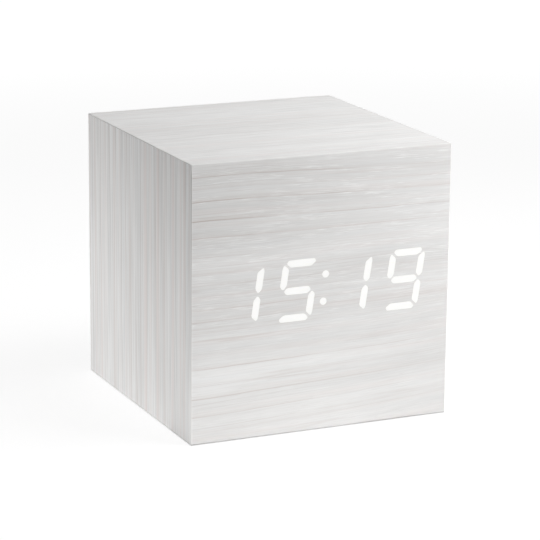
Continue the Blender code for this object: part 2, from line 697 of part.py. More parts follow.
def control_board():
    half_z = (ROW_TOP - ROW_BOTTOM) / 2
    outline = rectangle(CONTROL_BOARD_HALF, half_z, 0, ROW_Z)
    board = prism("Y", outline, CONTROL_BOARD_FRONT, CONTROL_BOARD_REAR)
    header = rectangle(HEADER_WIDTH / 2, HEADER_DEPTH / 2, 0, ROW_Z)
    header_front = CONTROL_BOARD_FRONT - HEADER_HEIGHT
    header = prism("Y", header, header_front, (CONTROL_BOARD_FRONT + CONTROL_BOARD_REAR) / 2)
    holes = []
    for x in (LEFT_POST_X, RIGHT_POST_X):
        start = (x, CONTROL_BOARD_FRONT - CUT_OVERRUN, ROW_Z)
        holes.append(rod(SCREW_D / 2 + SCREW_PASSAGE, start, CIRCUIT_BOARD + 2 * CUT_OVERRUN, REAR))
    piece("control_board", "circuit board", combined(board, joined=[header], cut=holes))


# Route of the ribbon cable, in shares of the depth and of the height between its headers
RIBBON_ROUTE_SHARES = ((0.10, 0.045), (0.31, -0.045), (0.59, 0.03), (0.77, 0.40), (0.885, 0.82))
RIBBON_STEP = 0.003


def ribbon_cable():
    x, z = spot(HEADER_SPOT_SHARES)
    start = Vector((DISPLAY_BOARD_REAR + HEADER_HEIGHT + GLUE_LINE, z))
    end = Vector((CONTROL_BOARD_FRONT - HEADER_HEIGHT - GLUE_LINE, ROW_Z))
    route = smooth_route([start, *between(start, end, RIBBON_ROUTE_SHARES), end], RIBBON_STEP)
    upper, lower = [], []
    for before, point, after in zip(route[:1] + route, route, route[1:] + route[-1:]):
        along = (after - before).normalized()
        if point in (start, end):
            along = Vector((1, 0))
        across = Vector((-along.y, along.x)) * (RIBBON / 2)
        upper.append(tuple(point + across))
        lower.append(tuple(point - across))
    strip = prism("X", upper + lower[::-1], x - RIBBON_WIDTH / 2, x + RIBBON_WIDTH / 2)
    piece("ribbon_cable", "grey ribbon", strip)


# Row of controls: push switches with their caps, microphone and DC socket

BUTTON_CHAMFER_SHARE = 0.12


def buttons():
    for name, x in BUTTON_PLACES.items():
        body = prism("Y", rectangle(SWITCH / 2, SWITCH / 2, x, ROW_Z), SWITCH_FRONT, SWITCH_REAR)
        bore_floor = SWITCH_REAR - SWITCH_BORE
        bore = rod(PLUNGER_D / 2 + FIT_GAP, (x, bore_floor, ROW_Z), SWITCH_BORE + CUT_OVERRUN, REAR)
        piece(f"{name}_switch", "black plastic", combined(body, cut=[bore]))

        foot = bore_floor + BUTTON_TRAVEL + FIT_GAP
        length = FLANGE_FRONT - GLUE_LINE - foot
        plunger = rod(PLUNGER_D / 2, (x, foot, ROW_Z), length, REAR)
        piece(f"{name}_plunger", "white plastic", plunger, (x, foot, ROW_Z))

        radius = BUTTON_D / 2
        chamfer = BUTTON_CHAMFER_SHARE * BUTTON_D
        height = COVER_OUTER + BUTTON_PROUD - FLANGE_FRONT
        profile = [
            (0, 0),
            (BUTTON_FLANGE_D / 2, 0),
            (BUTTON_FLANGE_D / 2, BUTTON_FLANGE),
            (radius, BUTTON_FLANGE),
            (radius, height - chamfer),
            (radius - chamfer, height),
            (0, height),
        ]
        base = (x, FLANGE_FRONT, ROW_Z)
        piece(f"{name}_button", "black plastic", turned(profile, SIDES_LARGE, base, REAR), base)


def microphone():
    sleeve_front = CONTROL_BOARD_REAR + GLUE_LINE
    sleeve_rear = COVER_INNER - GLUE_LINE
    base = (MICROPHONE_X, sleeve_front, ROW_Z)
    tube = rod(SLEEVE_D / 2, base, sleeve_rear - sleeve_front, REAR)
    start = (MICROPHONE_X, sleeve_front - CUT_OVERRUN, ROW_Z)
    length = sleeve_rear - sleeve_front + 2 * CUT_OVERRUN
    bore = rod(MICROPHONE_D / 2 + GLUE_LINE, start, length, REAR)
    piece("microphone_sleeve", "rubber", combined(tube, cut=[bore]))

    face = COVER_INNER - FIT_GAP
    capsule_front = face - MICROPHONE_LENGTH
    capsule = rod(MICROPHONE_D / 2, (MICROPHONE_X, capsule_front, ROW_Z), MICROPHONE_LENGTH, REAR)
    reach = capsule_front - sleeve_front + MICROPHONE_LENGTH / 2
    pins = []
    for side in (-1, 1):
        start = (MICROPHONE_X + side * MICROPHONE_D / 4, sleeve_front, ROW_Z)
        pins.append(rod(MICROPHONE_PIN / 2, start, reach, REAR, SIDES_FINE))
    piece("microphone", "steel", combined(capsule, joined=[together(pins)]))


def dc_socket():
    front = CONTROL_BOARD_REAR + GLUE_LINE
    rear = COVER_INNER - GLUE_LINE
    body = prism("Y", rectangle(SOCKET / 2, SOCKET / 2, SOCKET_X, ROW_Z), front, rear)
    base = (SOCKET_X, front + FIT_GAP, ROW_Z)
    collar = rod(SOCKET_COLLAR_D / 2, base, COVER_OUTER - front - FIT_GAP, REAR, SIDES_LARGE)
    floor = COVER_OUTER - SOCKET_BORE
    bore = rod(SOCKET_BORE_D / 2, (SOCKET_X, floor, ROW_Z), SOCKET_BORE + CUT_OVERRUN, REAR)
    seat_depth = SOCKET_PIN_D / 2
    seat = (SOCKET_X, floor - seat_depth, ROW_Z)
    pin_hole = rod(SOCKET_PIN_D / 2 + GLUE_LINE, seat, seat_depth + CUT_OVERRUN, REAR)
    mesh = combined(body, joined=[collar], cut=[bore, pin_hole])
    piece("dc_socket", "black plastic", mesh)

    foot = (SOCKET_X, floor - seat_depth + GLUE_LINE, ROW_Z)
    length = SOCKET_BORE + seat_depth - GLUE_LINE - SOCKET_PIN_INSET
    pin = chamfered_rod(SOCKET_PIN_D / 2, foot, length, REAR, SOCKET_PIN_D / 4)
    piece("dc_socket_pin", "nickel", pin)


# Rear cover with its battery well


def cover_screw_places():
    return [(x * BLOCK_PLACE, HALF + z * BLOCK_PLACE) for z in (1, -1) for x in (-1, 1)]


def sound_slots():
    z = HALF - COVER_HALF + SOUND_SLOTS_INSET
    first = -(SOUND_SLOTS - 1) / 2 * SOUND_SLOT_PITCH
    for i in range(SOUND_SLOTS):
        outline = rectangle(SOUND_SLOT_WIDTH / 2, SOUND_SLOT_LENGTH / 2, first + i * SOUND_SLOT_PITCH, z)
        yield prism("Y", outline, COVER_INNER - CUT_OVERRUN, COVER_OUTER + CUT_OVERRUN)


def rear_cover():
    plate = prism("Y", rectangle(COVER_HALF, COVER_HALF, 0, HALF), COVER_INNER, COVER_OUTER)
    shell = rectangle(WELL_HALF_X + WELL_WALL, WELL_HALF_Z + WELL_WALL, 0, CELL_Z)
    well = prism("Y", shell, WELL_FLOOR_OUTER, COVER_INNER + COVER / 2)
    posts = []
    post_length = COVER_INNER - CONTROL_BOARD_REAR - GLUE_LINE
    for x in (LEFT_POST_X, RIGHT_POST_X):
        base = (x, CONTROL_BOARD_REAR + GLUE_LINE, ROW_Z)
        posts.append(rod(POST_D / 2, base, post_length + COVER / 2, REAR))

    hollow = prism("Y", rectangle(WELL_HALF_X, WELL_HALF_Z, 0, CELL_Z), WELL_FLOOR, COVER_INNER)
    gate = rectangle(HATCH_HALF_X + FIT_GAP, HATCH_HALF_Z + FIT_GAP, 0, CELL_Z)
    gate = prism("Y", gate, HATCH_INNER - FIT_GAP, COVER_OUTER + CUT_OVERRUN)
    mouth = rectangle(HATCH_HALF_X - LEDGE, HATCH_HALF_Z + FIT_GAP, 0, CELL_Z)
    mouth = prism("Y", mouth, COVER_INNER - CUT_OVERRUN, HATCH_INNER)
    recess_z = CELL_Z - HATCH_HALF_Z
    recess = circle(FINGER_RECESS_RADIUS, SIDES_LARGE, 0, recess_z)
    recess = prism("Y", recess, COVER_OUTER - FINGER_RECESS_DEPTH, COVER_OUTER + CUT_OVERRUN)
    cuts = [hollow, gate, mouth, recess, together(sound_slots())]

    through = COVER + 2 * CUT_OVERRUN
    start = COVER_INNER - CUT_OVERRUN
    row_holes = [(x, BUTTON_D / 2 + FIT_GAP) for x in BUTTON_PLACES.values()]
    row_holes += [(MICROPHONE_X, MICROPHONE_HOLE_D / 2), (SOCKET_X, SOCKET_COLLAR_D / 2 + FIT_GAP)]
    holes = [rod(radius, (x, start, ROW_Z), through, REAR, SIDES_LARGE) for x, radius in row_holes]
    passage, seat = SCREW_D / 2 + SCREW_PASSAGE, SCREW_HEAD_D / 2 + FIT_GAP
    depth = through - COUNTERBORE - CUT_OVERRUN
    stepped = [(0, 0), (passage, 0), (passage, depth), (seat, depth), (seat, through), (0, through)]
    for x, z in cover_screw_places():
        holes.append(turned(stepped, SIDES_SMALL, (x, start, z), REAR))
    for x in (LEFT_POST_X, RIGHT_POST_X):
        base = (x, CONTROL_BOARD_REAR - CUT_OVERRUN, ROW_Z)
        tip = CONTROL_BOARD_FRONT - GLUE_LINE + BOARD_SCREW_LENGTH + FIT_GAP
        holes.append(rod(SCREW_D / 2 + SCREW_FIT, base, tip - CONTROL_BOARD_REAR + CUT_OVERRUN, REAR))
    cuts += [together(holes), together(contact_slots())]
    mesh = combined(plate, joined=[well, *posts], cut=cuts)
    piece("rear_cover", "black plastic", combined(mesh, joined=[together(cell_ribs())]))


def cell_ribs():
    """Ribs on the floor of the well between its cells."""
    for side in (-1, 1):
        outline = rectangle(CELL_RIB_LENGTH / 2, CELL_RIB / 2, 0, CELL_Z + side * CELL_PITCH / 2)
        yield prism("Y", outline, WELL_FLOOR - WELL_WALL / 2, WELL_FLOOR + CELL_RIB_HEIGHT)


def cell_height(index):
    """Height of a cell's axis: 0 is the upper, 1 the middle and 2 the lower cell."""
    return CELL_Z + (1 - index) * CELL_PITCH


def positive_side(index):
    """Side of a cell's positive end: they alternate, as the cells are in series."""
    return -1 if index % 2 == 0 else 1


CELL_NAMES = ("upper", "middle", "lower")
CELL_ROUNDING_SHARE = 0.04


def cells():
    for index, name in enumerate(CELL_NAMES):
        side = positive_side(index)
        nub_end = CONTACT_FACE - DIMPLE - FIT_GAP
        base = (side * (nub_end - CELL_LENGTH), CELL_Y, cell_height(index))
        radius = CELL_D / 2
        round_off = CELL_ROUNDING_SHARE * CELL_D
        shoulder = CELL_LENGTH - CELL_NUB
        profile = [
            (0, 0),
            (radius - round_off, 0),
            (radius, round_off),
            (radius, shoulder - round_off),
            (radius - round_off, shoulder),
            (CELL_NUB_D / 2, shoulder),
            (CELL_NUB_D / 2, CELL_LENGTH),
            (0, CELL_LENGTH),
        ]
        piece(f"{name}_battery", "cell wrapper", turned(profile, SIDES_LARGE, base, side * RIGHT))


# Coned springs on the negative contacts

SPRING_TIP_SHARE = 0.6
SPRING_ROOT_SHARE = 0.5


def spring(side, z):
    """A coned spring from its contact sheet towards a cell, as one unbroken wire."""
    start = CONTACT_FACE - SPRING_WIRE
    cell_end = CELL_LENGTH - (CONTACT_FACE - DIMPLE - FIT_GAP)
    length = start - cell_end - FIT_GAP - SPRING_WIRE / 2
    count = round(SPRING_TURNS * SPRING_POINTS_A_TURN)
    points = [Vector((CONTACT_FACE + SPRING_ROOT_SHARE * CONTACT, CELL_Y + SPRING_D / 2, z))]
    for i in range(count + 1):
        share = i / count
        radius = SPRING_D / 2 * (1 - share + share * SPRING_TIP_SHARE)
        turn = 2 * math.pi * SPRING_TURNS * share
        x = start - share * length
        points.append(Vector((x, CELL_Y + radius * math.cos(turn), z + radius * math.sin(turn))))
    apart = SPRING_POINTS_A_TURN // 2
    least = min((a - b).length for i, a in enumerate(points) for b in points[i + apart + 1 :])
    print(f"Spring wire, least gap to itself: {least - SPRING_WIRE:.5f} m")
    return tube_mesh([Vector((side * p.x, p.y, p.z)) for p in points], SPRING_WIRE / 2, 1)


def tube_curve(name, points, radius, resolution):
    """Curve with a round bevel and closed ends through the points."""
    curve = bpy.data.curves.new(name, "CURVE")
    curve.dimensions = "3D"
    curve.bevel_depth = radius
    curve.bevel_resolution = resolution
    curve.use_fill_caps = True
    line = curve.splines.new("POLY")
    line.points.add(len(points) - 1)
    for place, point in zip(line.points, points):
        place.co = (*point, 1)
    return curve


def tube_mesh(points, radius, resolution):
    holder = bpy.data.objects.new("holder", tube_curve("tube", points, radius, resolution))
    bpy.context.scene.collection.objects.link(holder)
    graph = bpy.context.evaluated_depsgraph_get()
    mesh = bpy.data.meshes.new_from_object(holder.evaluated_get(graph))
    bpy.data.objects.remove(holder)
    shape = bmesh.new()
    shape.from_mesh(mesh)
    bmesh.ops.remove_doubles(shape, verts=shape.verts, dist=VERTEX_MERGE)
    return mesh_of(shape)


def contact(name, side, ends, tabbed=False):
    """Contact sheet at one end of the well: a dimple for a positive end, a spring for a negative one."""
    top = max(cell_height(index) for index in ends) + CONTACT_WIDTH / 2
    bottom = min(cell_height(index) for index in ends) - CONTACT_WIDTH / 2
    front = CELL_Y - CONTACT_WIDTH / 2
    rear = CELL_Y + CONTACT_WIDTH / 2
    outline = [(front, bottom), (rear, bottom), (rear, top), (front, top)]
    if tabbed:
        z = (top + bottom) / 2
        tab = WELL_FLOOR_OUTER - SOLDER_TAB_REACH
        low, high = z - SOLDER_TAB_WIDTH / 2, z + SOLDER_TAB_WIDTH / 2
        outline += [(front, high), (tab, high), (tab, low), (front, low)]
    sheet = prism("X", outline, side * CONTACT_FACE, side * (CONTACT_FACE + CONTACT))
    joined = []
    for index in ends:
        z = cell_height(index)
        if positive_side(index) != side:
            joined.append(spring(side, z))
            continue
        root = CONTACT_FACE + CONTACT / 2
        rise = CONTACT / 2 + DIMPLE
        profile = [(0, 0), (DIMPLE_D / 2, 0), (DIMPLE_D / 2 - DIMPLE, rise), (0, rise)]
        joined.append(turned(profile, SIDES_SMALL, (side * root, CELL_Y, z), -side * RIGHT))
    piece(name, "nickel", combined(sheet, joined=joined))


def tabbed_contacts():
    """Name, side and cell of each contact that a lead is soldered to, at the two ends of the series."""
    last = len(CELL_NAMES) - 1
    return [("positive_contact", positive_side(0), 0), ("negative_contact", -positive_side(last), last)]


def contacts():
    for name, side, index in tabbed_contacts():
        contact(name, side, [index], tabbed=True)
    contact("upper_bridge_contact", 1, [0, 1])
    contact("lower_bridge_contact", -1, [1, 2])


def contact_slots():
    """Slots in the floor of the well for the solder tabs."""
    clear = 2 * GLUE_LINE
    for _, side, index in tabbed_contacts():
        middle = side * (CONTACT_FACE + CONTACT / 2)
        half_x, half_z = CONTACT / 2 + clear, SOLDER_TAB_WIDTH / 2 + clear
        outline = rectangle(half_x, half_z, middle, cell_height(index))
        yield prism("Y", outline, WELL_FLOOR_OUTER - CUT_OVERRUN, WELL_FLOOR + CUT_OVERRUN)


# Routes of the two battery leads, in shares of the way from a solder tab to the control board
LEAD_ROUTE_SHARES = {
    "red": (
        (0.02, -0.40, 0.09),
        (0.10, -0.53, 0.35),
        (0.33, -0.40, 0.63),
        (0.62, -0.08, 0.84),
        (0.86, 0.32, 0.96),
        (0.99, 0.67, 1),
    ),
    "black": (
        (0.02, -0.40, 0.03),
        (0.08, -0.65, 0.15),
        (0.12, -0.74, 0.34),
        (0.14, -0.73, 0.55),
        (0.22, -0.63, 0.73),
        (0.41, -0.40, 0.87),
        (0.66, -0.04, 0.95),
        (0.88, 0.35, 0.99),
        (0.99, 0.68, 1),
    ),
}
LEAD_PAD_DROP = 0.0016  # of the pads below the middle of the control board
LEAD_STEP_SHARE = 2.2  # of its diameter
LEAD_PAD_SHARE = 0.68  # of the control board's half width


def leads():
    for (colour, shares), (_, side, index) in zip(LEAD_ROUTE_SHARES.items(), tabbed_contacts()):
        x = side * (CONTACT_FACE + CONTACT / 2)
        start = Vector((x, WELL_FLOOR_OUTER - SOLDER_TAB_REACH - FIT_GAP, cell_height(index)))
        pad_x = side * LEAD_PAD_SHARE * CONTROL_BOARD_HALF
        end = Vector((pad_x, CONTROL_BOARD_FRONT - FIT_GAP, ROW_Z - LEAD_PAD_DROP))
        leaving = start + FRONT * LEAD_D
        arriving = end + FRONT * LEAD_D
        points = [start, leaving, *between(start, end, shares), arriving, end]
        points = smooth_route(points, LEAD_STEP_SHARE * LEAD_D)
        curve = tube_curve(f"{colour}_battery_lead", points, LEAD_D / 2, 2)
        curve.materials.append(finish(f"{colour}_battery_lead", f"{colour} wire"))
        made = bpy.data.objects.new(f"{colour}_battery_lead", curve)
        bpy.context.scene.collection.objects.link(made)


# Battery hatch, which swings on its hooks about the middle of its rounded top edge

HATCH_EDGE_STEPS = 8


def battery_hatch():
    radius = HATCH / 2
    bottom = HINGE_Z + radius - 2 * HATCH_HALF_Z
    turns = [math.pi * i / HATCH_EDGE_STEPS for i in range(HATCH_EDGE_STEPS + 1)]
    edge = [(HINGE_Y + radius * math.cos(t), HINGE_Z + radius * math.sin(t)) for t in turns]
    outline = [(HINGE_Y - radius, bottom), (HINGE_Y + radius, bottom), *edge]
    plate = prism("X", outline, -HATCH_HALF_X, HATCH_HALF_X)

    slits = []
    for side in (-1, 1):
        middle = side * (LATCH_WIDTH + LATCH_SLIT) / 2
        low, high = bottom - CUT_OVERRUN, bottom + LATCH_LENGTH
        slit = rectangle(LATCH_SLIT / 2, (high - low) / 2, middle, (high + low) / 2)
        slits.append(prism("Y", slit, HATCH_INNER - CUT_OVERRUN, COVER_OUTER + CUT_OVERRUN))

    added = []
    rear = HINGE_Y - (COVER - HATCH / 2) - FIT_GAP
    for side in (-1, 1):
        hook = [
            (HINGE_Y, HINGE_Z - HOOK_ROOT),
            (HINGE_Y, HINGE_Z - HOOK_ROOT + HOOK),
            (rear, HINGE_Z - HOOK_ROOT + HOOK),
            (rear, HINGE_Z + HOOK_TOP),
            (rear - HOOK, HINGE_Z + HOOK_TOP),
            (rear - HOOK, HINGE_Z - HOOK_ROOT),
        ]
        middle = side * HOOK_PLACE
        added.append(prism("X", hook, middle - HOOK_WIDTH / 2, middle + HOOK_WIDTH / 2))
    latch = rectangle(LATCH_HOOK_WIDTH / 2, LATCH_HOOK / 2, 0, bottom + LATCH_HOOK / 2)
    added.append(prism("Y", latch, HATCH_INNER - LATCH_HOOK_REACH, HINGE_Y))
    for i in range(GRIP_RIDGES):
        z = bottom + LATCH_LENGTH * (i + 1) / (GRIP_RIDGES + 1)
        base = COVER_OUTER - GRIP_RIDGE
        ridge = [(base, z - GRIP_RIDGE), (base + 2 * GRIP_RIDGE, z), (base, z + GRIP_RIDGE)]
        added.append(prism("X", ridge, -GRIP_RIDGE_WIDTH / 2, GRIP_RIDGE_WIDTH / 2))
    mesh = combined(plate, joined=[together(added)], cut=slits)
    piece("battery_hatch", "black plastic", mesh, (0, HINGE_Y, HINGE_Z))


# Screws, with pan heads and crossed recesses

HEAD_SHARES = ((1, 0), (1, 0.45), (0.82, 0.85), (0.45, 1), (0, 1))
TIP_SHARE = 1.2  # length of the point, as a share of the shank's radius
CROSS_ARM_SHARE = 0.55
CROSS_WIDTH_SHARE = 0.13
CROSS_DEPTH_SHARE = 0.5


def screw_mesh(length):
    """Screw along +Z about the origin, its head resting on the ground plane."""
    shank = SCREW_D / 2
    head = SCREW_HEAD_D / 2
    profile = [(0, -length), (shank, TIP_SHARE * shank - length), (shank, 0)]
    profile += scaled(HEAD_SHARES, head, SCREW_HEAD)
    body = turned(profile, SIDES_SMALL, (0, 0, 0), UP)
    arm, width = CROSS_ARM_SHARE * head, CROSS_WIDTH_SHARE * head
    cross = [(width, width), (width, arm), (-width, arm), (-width, width), (-arm, width), (-arm, -width)]
    cross += [(-u, -v) for u, v in cross]
    recess = prism("Z", cross, (1 - CROSS_DEPTH_SHARE) * SCREW_HEAD, SCREW_HEAD + CUT_OVERRUN)
    return combined(body, cut=[recess])


def screws():
    """Each screw is its own object, and those of a kind share one mesh."""
    post_places = [(x, ROW_Z) for x in (LEFT_POST_X, RIGHT_POST_X)]
    display_seat = DISPLAY_BOARD_REAR + GLUE_LINE
    control_seat = CONTROL_BOARD_FRONT - GLUE_LINE
    long, short = COVER_SCREW_LENGTH, BOARD_SCREW_LENGTH
    groups = (
        ("rear_cover_screw", "black steel", long, cover_screw_places(), COVER_SCREW_SEAT, REAR),
        ("control_board_screw", "steel", short, post_places, control_seat, FRONT),
        ("display_board_screw", "steel", short, display_screw_places(), display_seat, REAR),
    )
    for name, kind, length, places, seat, way in groups:
        mesh = screw_mesh(length)
        mesh.materials.clear()
        mesh.materials.append(finish(name, kind))
        mesh.shade_smooth()
        mesh.set_sharp_from_angle(angle=SHARP_ANGLE)
        for number, (x, z) in enumerate(places, 1):
            made = bpy.data.objects.new(f"{name}_{number}", mesh)
            made.location = (x, seat, z)
            made.rotation_mode = "QUATERNION"
            made.rotation_quaternion = UP.rotation_difference(way)
            bpy.context.scene.collection.objects.link(made)


def clear_scene():
    for leftover in list(bpy.data.objects):
        bpy.data.objects.remove(leftover)


clear_scene()
veneer_sheets()
boards()
corner_blocks()
display()
display_board()
clock_chip()
display_board_parts()
control_board()
ribbon_cable()
buttons()
microphone()
dc_socket()
rear_cover()
cells()
contacts()
leads()
battery_hatch()
screws()
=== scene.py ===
"""Looks of the wooden cube alarm clock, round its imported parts. Metres, +Z up, front towards -Y."""

import math

import bmesh
import bpy
from mathutils import Matrix, Quaternion, Vector, geometry


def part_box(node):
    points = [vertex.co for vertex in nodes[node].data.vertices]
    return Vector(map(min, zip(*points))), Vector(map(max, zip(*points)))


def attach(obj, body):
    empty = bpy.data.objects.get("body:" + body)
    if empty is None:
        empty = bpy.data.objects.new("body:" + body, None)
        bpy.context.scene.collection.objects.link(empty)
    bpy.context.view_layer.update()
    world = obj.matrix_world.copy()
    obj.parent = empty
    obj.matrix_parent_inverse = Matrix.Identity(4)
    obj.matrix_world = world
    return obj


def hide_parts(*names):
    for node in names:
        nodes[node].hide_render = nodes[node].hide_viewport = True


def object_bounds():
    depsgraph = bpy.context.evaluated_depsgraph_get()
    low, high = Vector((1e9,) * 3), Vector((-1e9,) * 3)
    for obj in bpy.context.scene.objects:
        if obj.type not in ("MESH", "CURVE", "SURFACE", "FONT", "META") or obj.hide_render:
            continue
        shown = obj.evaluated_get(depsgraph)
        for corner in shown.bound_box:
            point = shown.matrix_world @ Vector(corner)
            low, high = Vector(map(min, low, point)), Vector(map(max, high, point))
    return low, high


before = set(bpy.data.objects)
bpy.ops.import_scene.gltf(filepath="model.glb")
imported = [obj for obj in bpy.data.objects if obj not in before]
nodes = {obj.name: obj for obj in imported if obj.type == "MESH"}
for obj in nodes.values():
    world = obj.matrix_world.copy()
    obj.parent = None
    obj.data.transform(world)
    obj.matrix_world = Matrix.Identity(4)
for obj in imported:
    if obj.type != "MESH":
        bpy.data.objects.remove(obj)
cad_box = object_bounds()
MM = 0.001

# Camera: a long lens to the left of the front and a little above it, turned by half a degree
# about its own axis, so that the cube's corners fall where they do in the photograph.
camera_place = Vector((-0.24253, -0.53504, 0.18200))
camera_aim = Vector((0.00158, 0, 0.03006))
camera_roll = math.radians(0.533)
camera = bpy.data.objects.new("camera", bpy.data.cameras.new("camera"))
camera.data.lens = 168.61
camera.location = camera_place
camera.rotation_mode = "QUATERNION"
level_view = (camera_aim - camera_place).to_track_quat("-Z", "Y")
camera.rotation_quaternion = level_view @ Quaternion((0, 0, 1), camera_roll)
bpy.context.scene.collection.objects.link(camera)
bpy.context.scene.camera = camera
bpy.context.scene.view_settings.view_transform = "Standard"


# Studio: a pale sweep of floor under a soft white surround. To the camera, and in reflections,
# the surround and the open floor are plain white, and the floor keeps the clock's shadow.
def add(tree, kind, inputs=None, **settings):
    """A new node: its inputs are linked where a socket is given and set where a value is."""
    node = tree.nodes.new(kind)
    for name, value in settings.items():
        setattr(node, name, value)
    for name, value in (inputs or {}).items():
        if isinstance(value, bpy.types.NodeSocket):
            tree.links.new(value, node.inputs[name])
        else:
            node.inputs[name].default_value = value
    return node


def calc(tree, operation, *values):
    return add(tree, "ShaderNodeMath", dict(enumerate(values)), operation=operation).outputs[0]


def fade(tree, value, start, end):
    """0 on the near side of start and 1 beyond end, with a smooth step between."""
    inputs = {"Value": value, "From Min": start, "From Max": end}
    return add(tree, "ShaderNodeMapRange", inputs, interpolation_type="SMOOTHSTEP").outputs["Result"]


def seen_directly(tree):
    """1 for rays from the camera, a mirror or a glass, and 0 for the light that falls on things."""
    rays = add(tree, "ShaderNodeLightPath").outputs
    mirrored = calc(tree, "MAXIMUM", rays["Is Glossy Ray"], rays["Is Transmission Ray"])
    return calc(tree, "MAXIMUM", rays["Is Camera Ray"], mirrored)


AMBIENT_STRENGTH = 0.02
world = bpy.data.worlds.new("studio")
bpy.context.scene.world = world
world.use_nodes = True
tree = world.node_tree
ambient = add(tree, "ShaderNodeBackground", {"Color": (0.97, 0.98, 1, 1), "Strength": AMBIENT_STRENGTH})
white = add(tree, "ShaderNodeBackground", {"Color": (1, 1, 1, 1), "Strength": 1})
both = add(tree, "ShaderNodeMixShader", {0: seen_directly(tree), 1: ambient.outputs[0], 2: white.outputs[0]})
tree.links.new(both.outputs[0], tree.nodes["World Output"].inputs["Surface"])

FLOOR_HALF = 4
FLOOR_DROP = 0.1 * MM
FLOOR_GLOW = 0.87
GLOW_START = 0.25
GLOW_END = 0.60
shape = bmesh.new()
below = Matrix.Translation((0, 0, -FLOOR_DROP))
bmesh.ops.create_grid(shape, x_segments=1, y_segments=1, size=FLOOR_HALF, matrix=below)
floor_mesh = bpy.data.meshes.new("floor")
shape.to_mesh(floor_mesh)
shape.free()
floor_paint = bpy.data.materials.new("floor paint")
floor_paint.use_nodes = True
tree = floor_paint.node_tree
tree.nodes.remove(tree.nodes["Principled BSDF"])
lit = add(tree, "ShaderNodeBsdfDiffuse", {"Color": (0.82, 0.82, 0.82, 1)})
pale = add(tree, "ShaderNodeBsdfDiffuse", {"Color": (0.25, 0.25, 0.25, 1)})
place = add(tree, "ShaderNodeTexCoord").outputs["Object"]
away = add(tree, "ShaderNodeVectorMath", {0: place}, operation="LENGTH").outputs["Value"]
glowing = calc(tree, "MULTIPLY_ADD", fade(tree, away, GLOW_START, GLOW_END), 1 - FLOOR_GLOW, FLOOR_GLOW)
glow = add(tree, "ShaderNodeEmission", {"Color": (1, 1, 1, 1), "Strength": glowing})
shown = add(tree, "ShaderNodeAddShader", {0: pale.outputs[0], 1: glow.outputs[0]})
both = add(tree, "ShaderNodeMixShader", {0: seen_directly(tree), 1: lit.outputs[0], 2: shown.outputs[0]})
tree.links.new(both.outputs[0], tree.nodes["Material Output"].inputs["Surface"])
floor_mesh.materials.append(floor_paint)
floor = bpy.data.objects.new("floor", floor_mesh)
bpy.context.scene.collection.objects.link(floor)

# Lamps: softboxes over the clock, and a lit glass table whose panels shine up round it. Each has
# its place, its side and its power in watts. Each panel lies a hair above the one before, because
# lamps in one plane take light from each other.
clock_middle = (cad_box[0] + cad_box[1]) / 2
SOFTBOXES = {
    "front_softbox": ((0.135, -0.10, 0.30), 0.20, 0.79),
    "rear_softbox": ((-0.20, 0.30, 0.60), 0.40, 0.84),
}
PANEL_STEP = 0.03 * MM
TABLE_PANELS = {
    "middle_panel": ((0, 0, PANEL_STEP), 0.25, 0.180),
    "near_left_panel": ((-0.0825, 0.03, 2 * PANEL_STEP), 0.10, 0.011),
    "near_front_panel": ((-0.04, -0.0825, 3 * PANEL_STEP), 0.10, 0.006),
    "left_panel": ((-0.16, 0.14, 4 * PANEL_STEP), 0.20, 0.170),
    "right_panel": ((0.16, -0.18, 5 * PANEL_STEP), 0.20, 0.34),
}


def hang_lamp(name, place, side, power, way):
    """A square lamp that shines a way, unseen by the camera."""
    light = bpy.data.lights.new(name, "AREA")
    light.size = side
    light.energy = power
    lamp = bpy.data.objects.new(name, light)
    lamp.location = place
    lamp.rotation_mode = "QUATERNION"
    lamp.rotation_quaternion = way.to_track_quat("-Z", "Y")
    lamp.visible_camera = False
    bpy.context.scene.collection.objects.link(lamp)
    return lamp


for name, (place, side, power) in SOFTBOXES.items():
    hang_lamp(name, place, side, power, clock_middle - Vector(place))
for name, (place, side, power) in TABLE_PANELS.items():
    hang_lamp(name, place, side, power, Vector((0, 0, 1))).visible_glossy = False


# Veneer: thin sheets of pale, grey-washed wood, glued over the boards. They meet in mitres, and
# the long edges of the cube are eased by a stroke of sandpaper, with a painted highlight that leaves them a little
# paler.
def mixed(tree, share, first, second, blend="MIX"):
    inputs = {0: share, 6: first, 7: second}
    return add(tree, "ShaderNodeMix", inputs, data_type="RGBA", blend_type=blend).outputs[2]


def streaks(tree, along, across, seed, detail=2):
    """Noise of two lengths in its own units, drawn out by the scales already in them."""
    point = add(tree, "ShaderNodeCombineXYZ", {"X": along, "Y": across, "Z": seed}).outputs[0]
    return add(tree, "ShaderNodeTexNoise", {"Vector": point, "Scale": 1, "Detail": detail}).outputs[0]


def shader_group(name, inputs, outputs):
    """A node group with named sockets: its tree, the values that it is given and its output node."""
    group = bpy.data.node_groups.new(name, "ShaderNodeTree")
    for socket, (kind, value) in inputs.items():
        made = group.interface.new_socket(socket, in_out="INPUT", socket_type=f"NodeSocket{kind}")
        made.default_value = value
    for socket, kind in outputs.items():
        group.interface.new_socket(socket, in_out="OUTPUT", socket_type=f"NodeSocket{kind}")
    given = group.nodes.new("NodeGroupInput").outputs
    return group, given, group.nodes.new("NodeGroupOutput")


def hand_out(group, end, values):
    for name, value in values.items():
        group.links.new(value, end.inputs[name])


def use(tree, group, inputs):
    """The group's outputs, placed in a tree with its own values."""
    node = tree.nodes.new("ShaderNodeGroup")
    node.node_tree = group
    for name, value in inputs.items():
        if isinstance(value, bpy.types.NodeSocket):
            tree.links.new(value, node.inputs[name])
        else:
            node.inputs[name].default_value = value
    return node.outputs


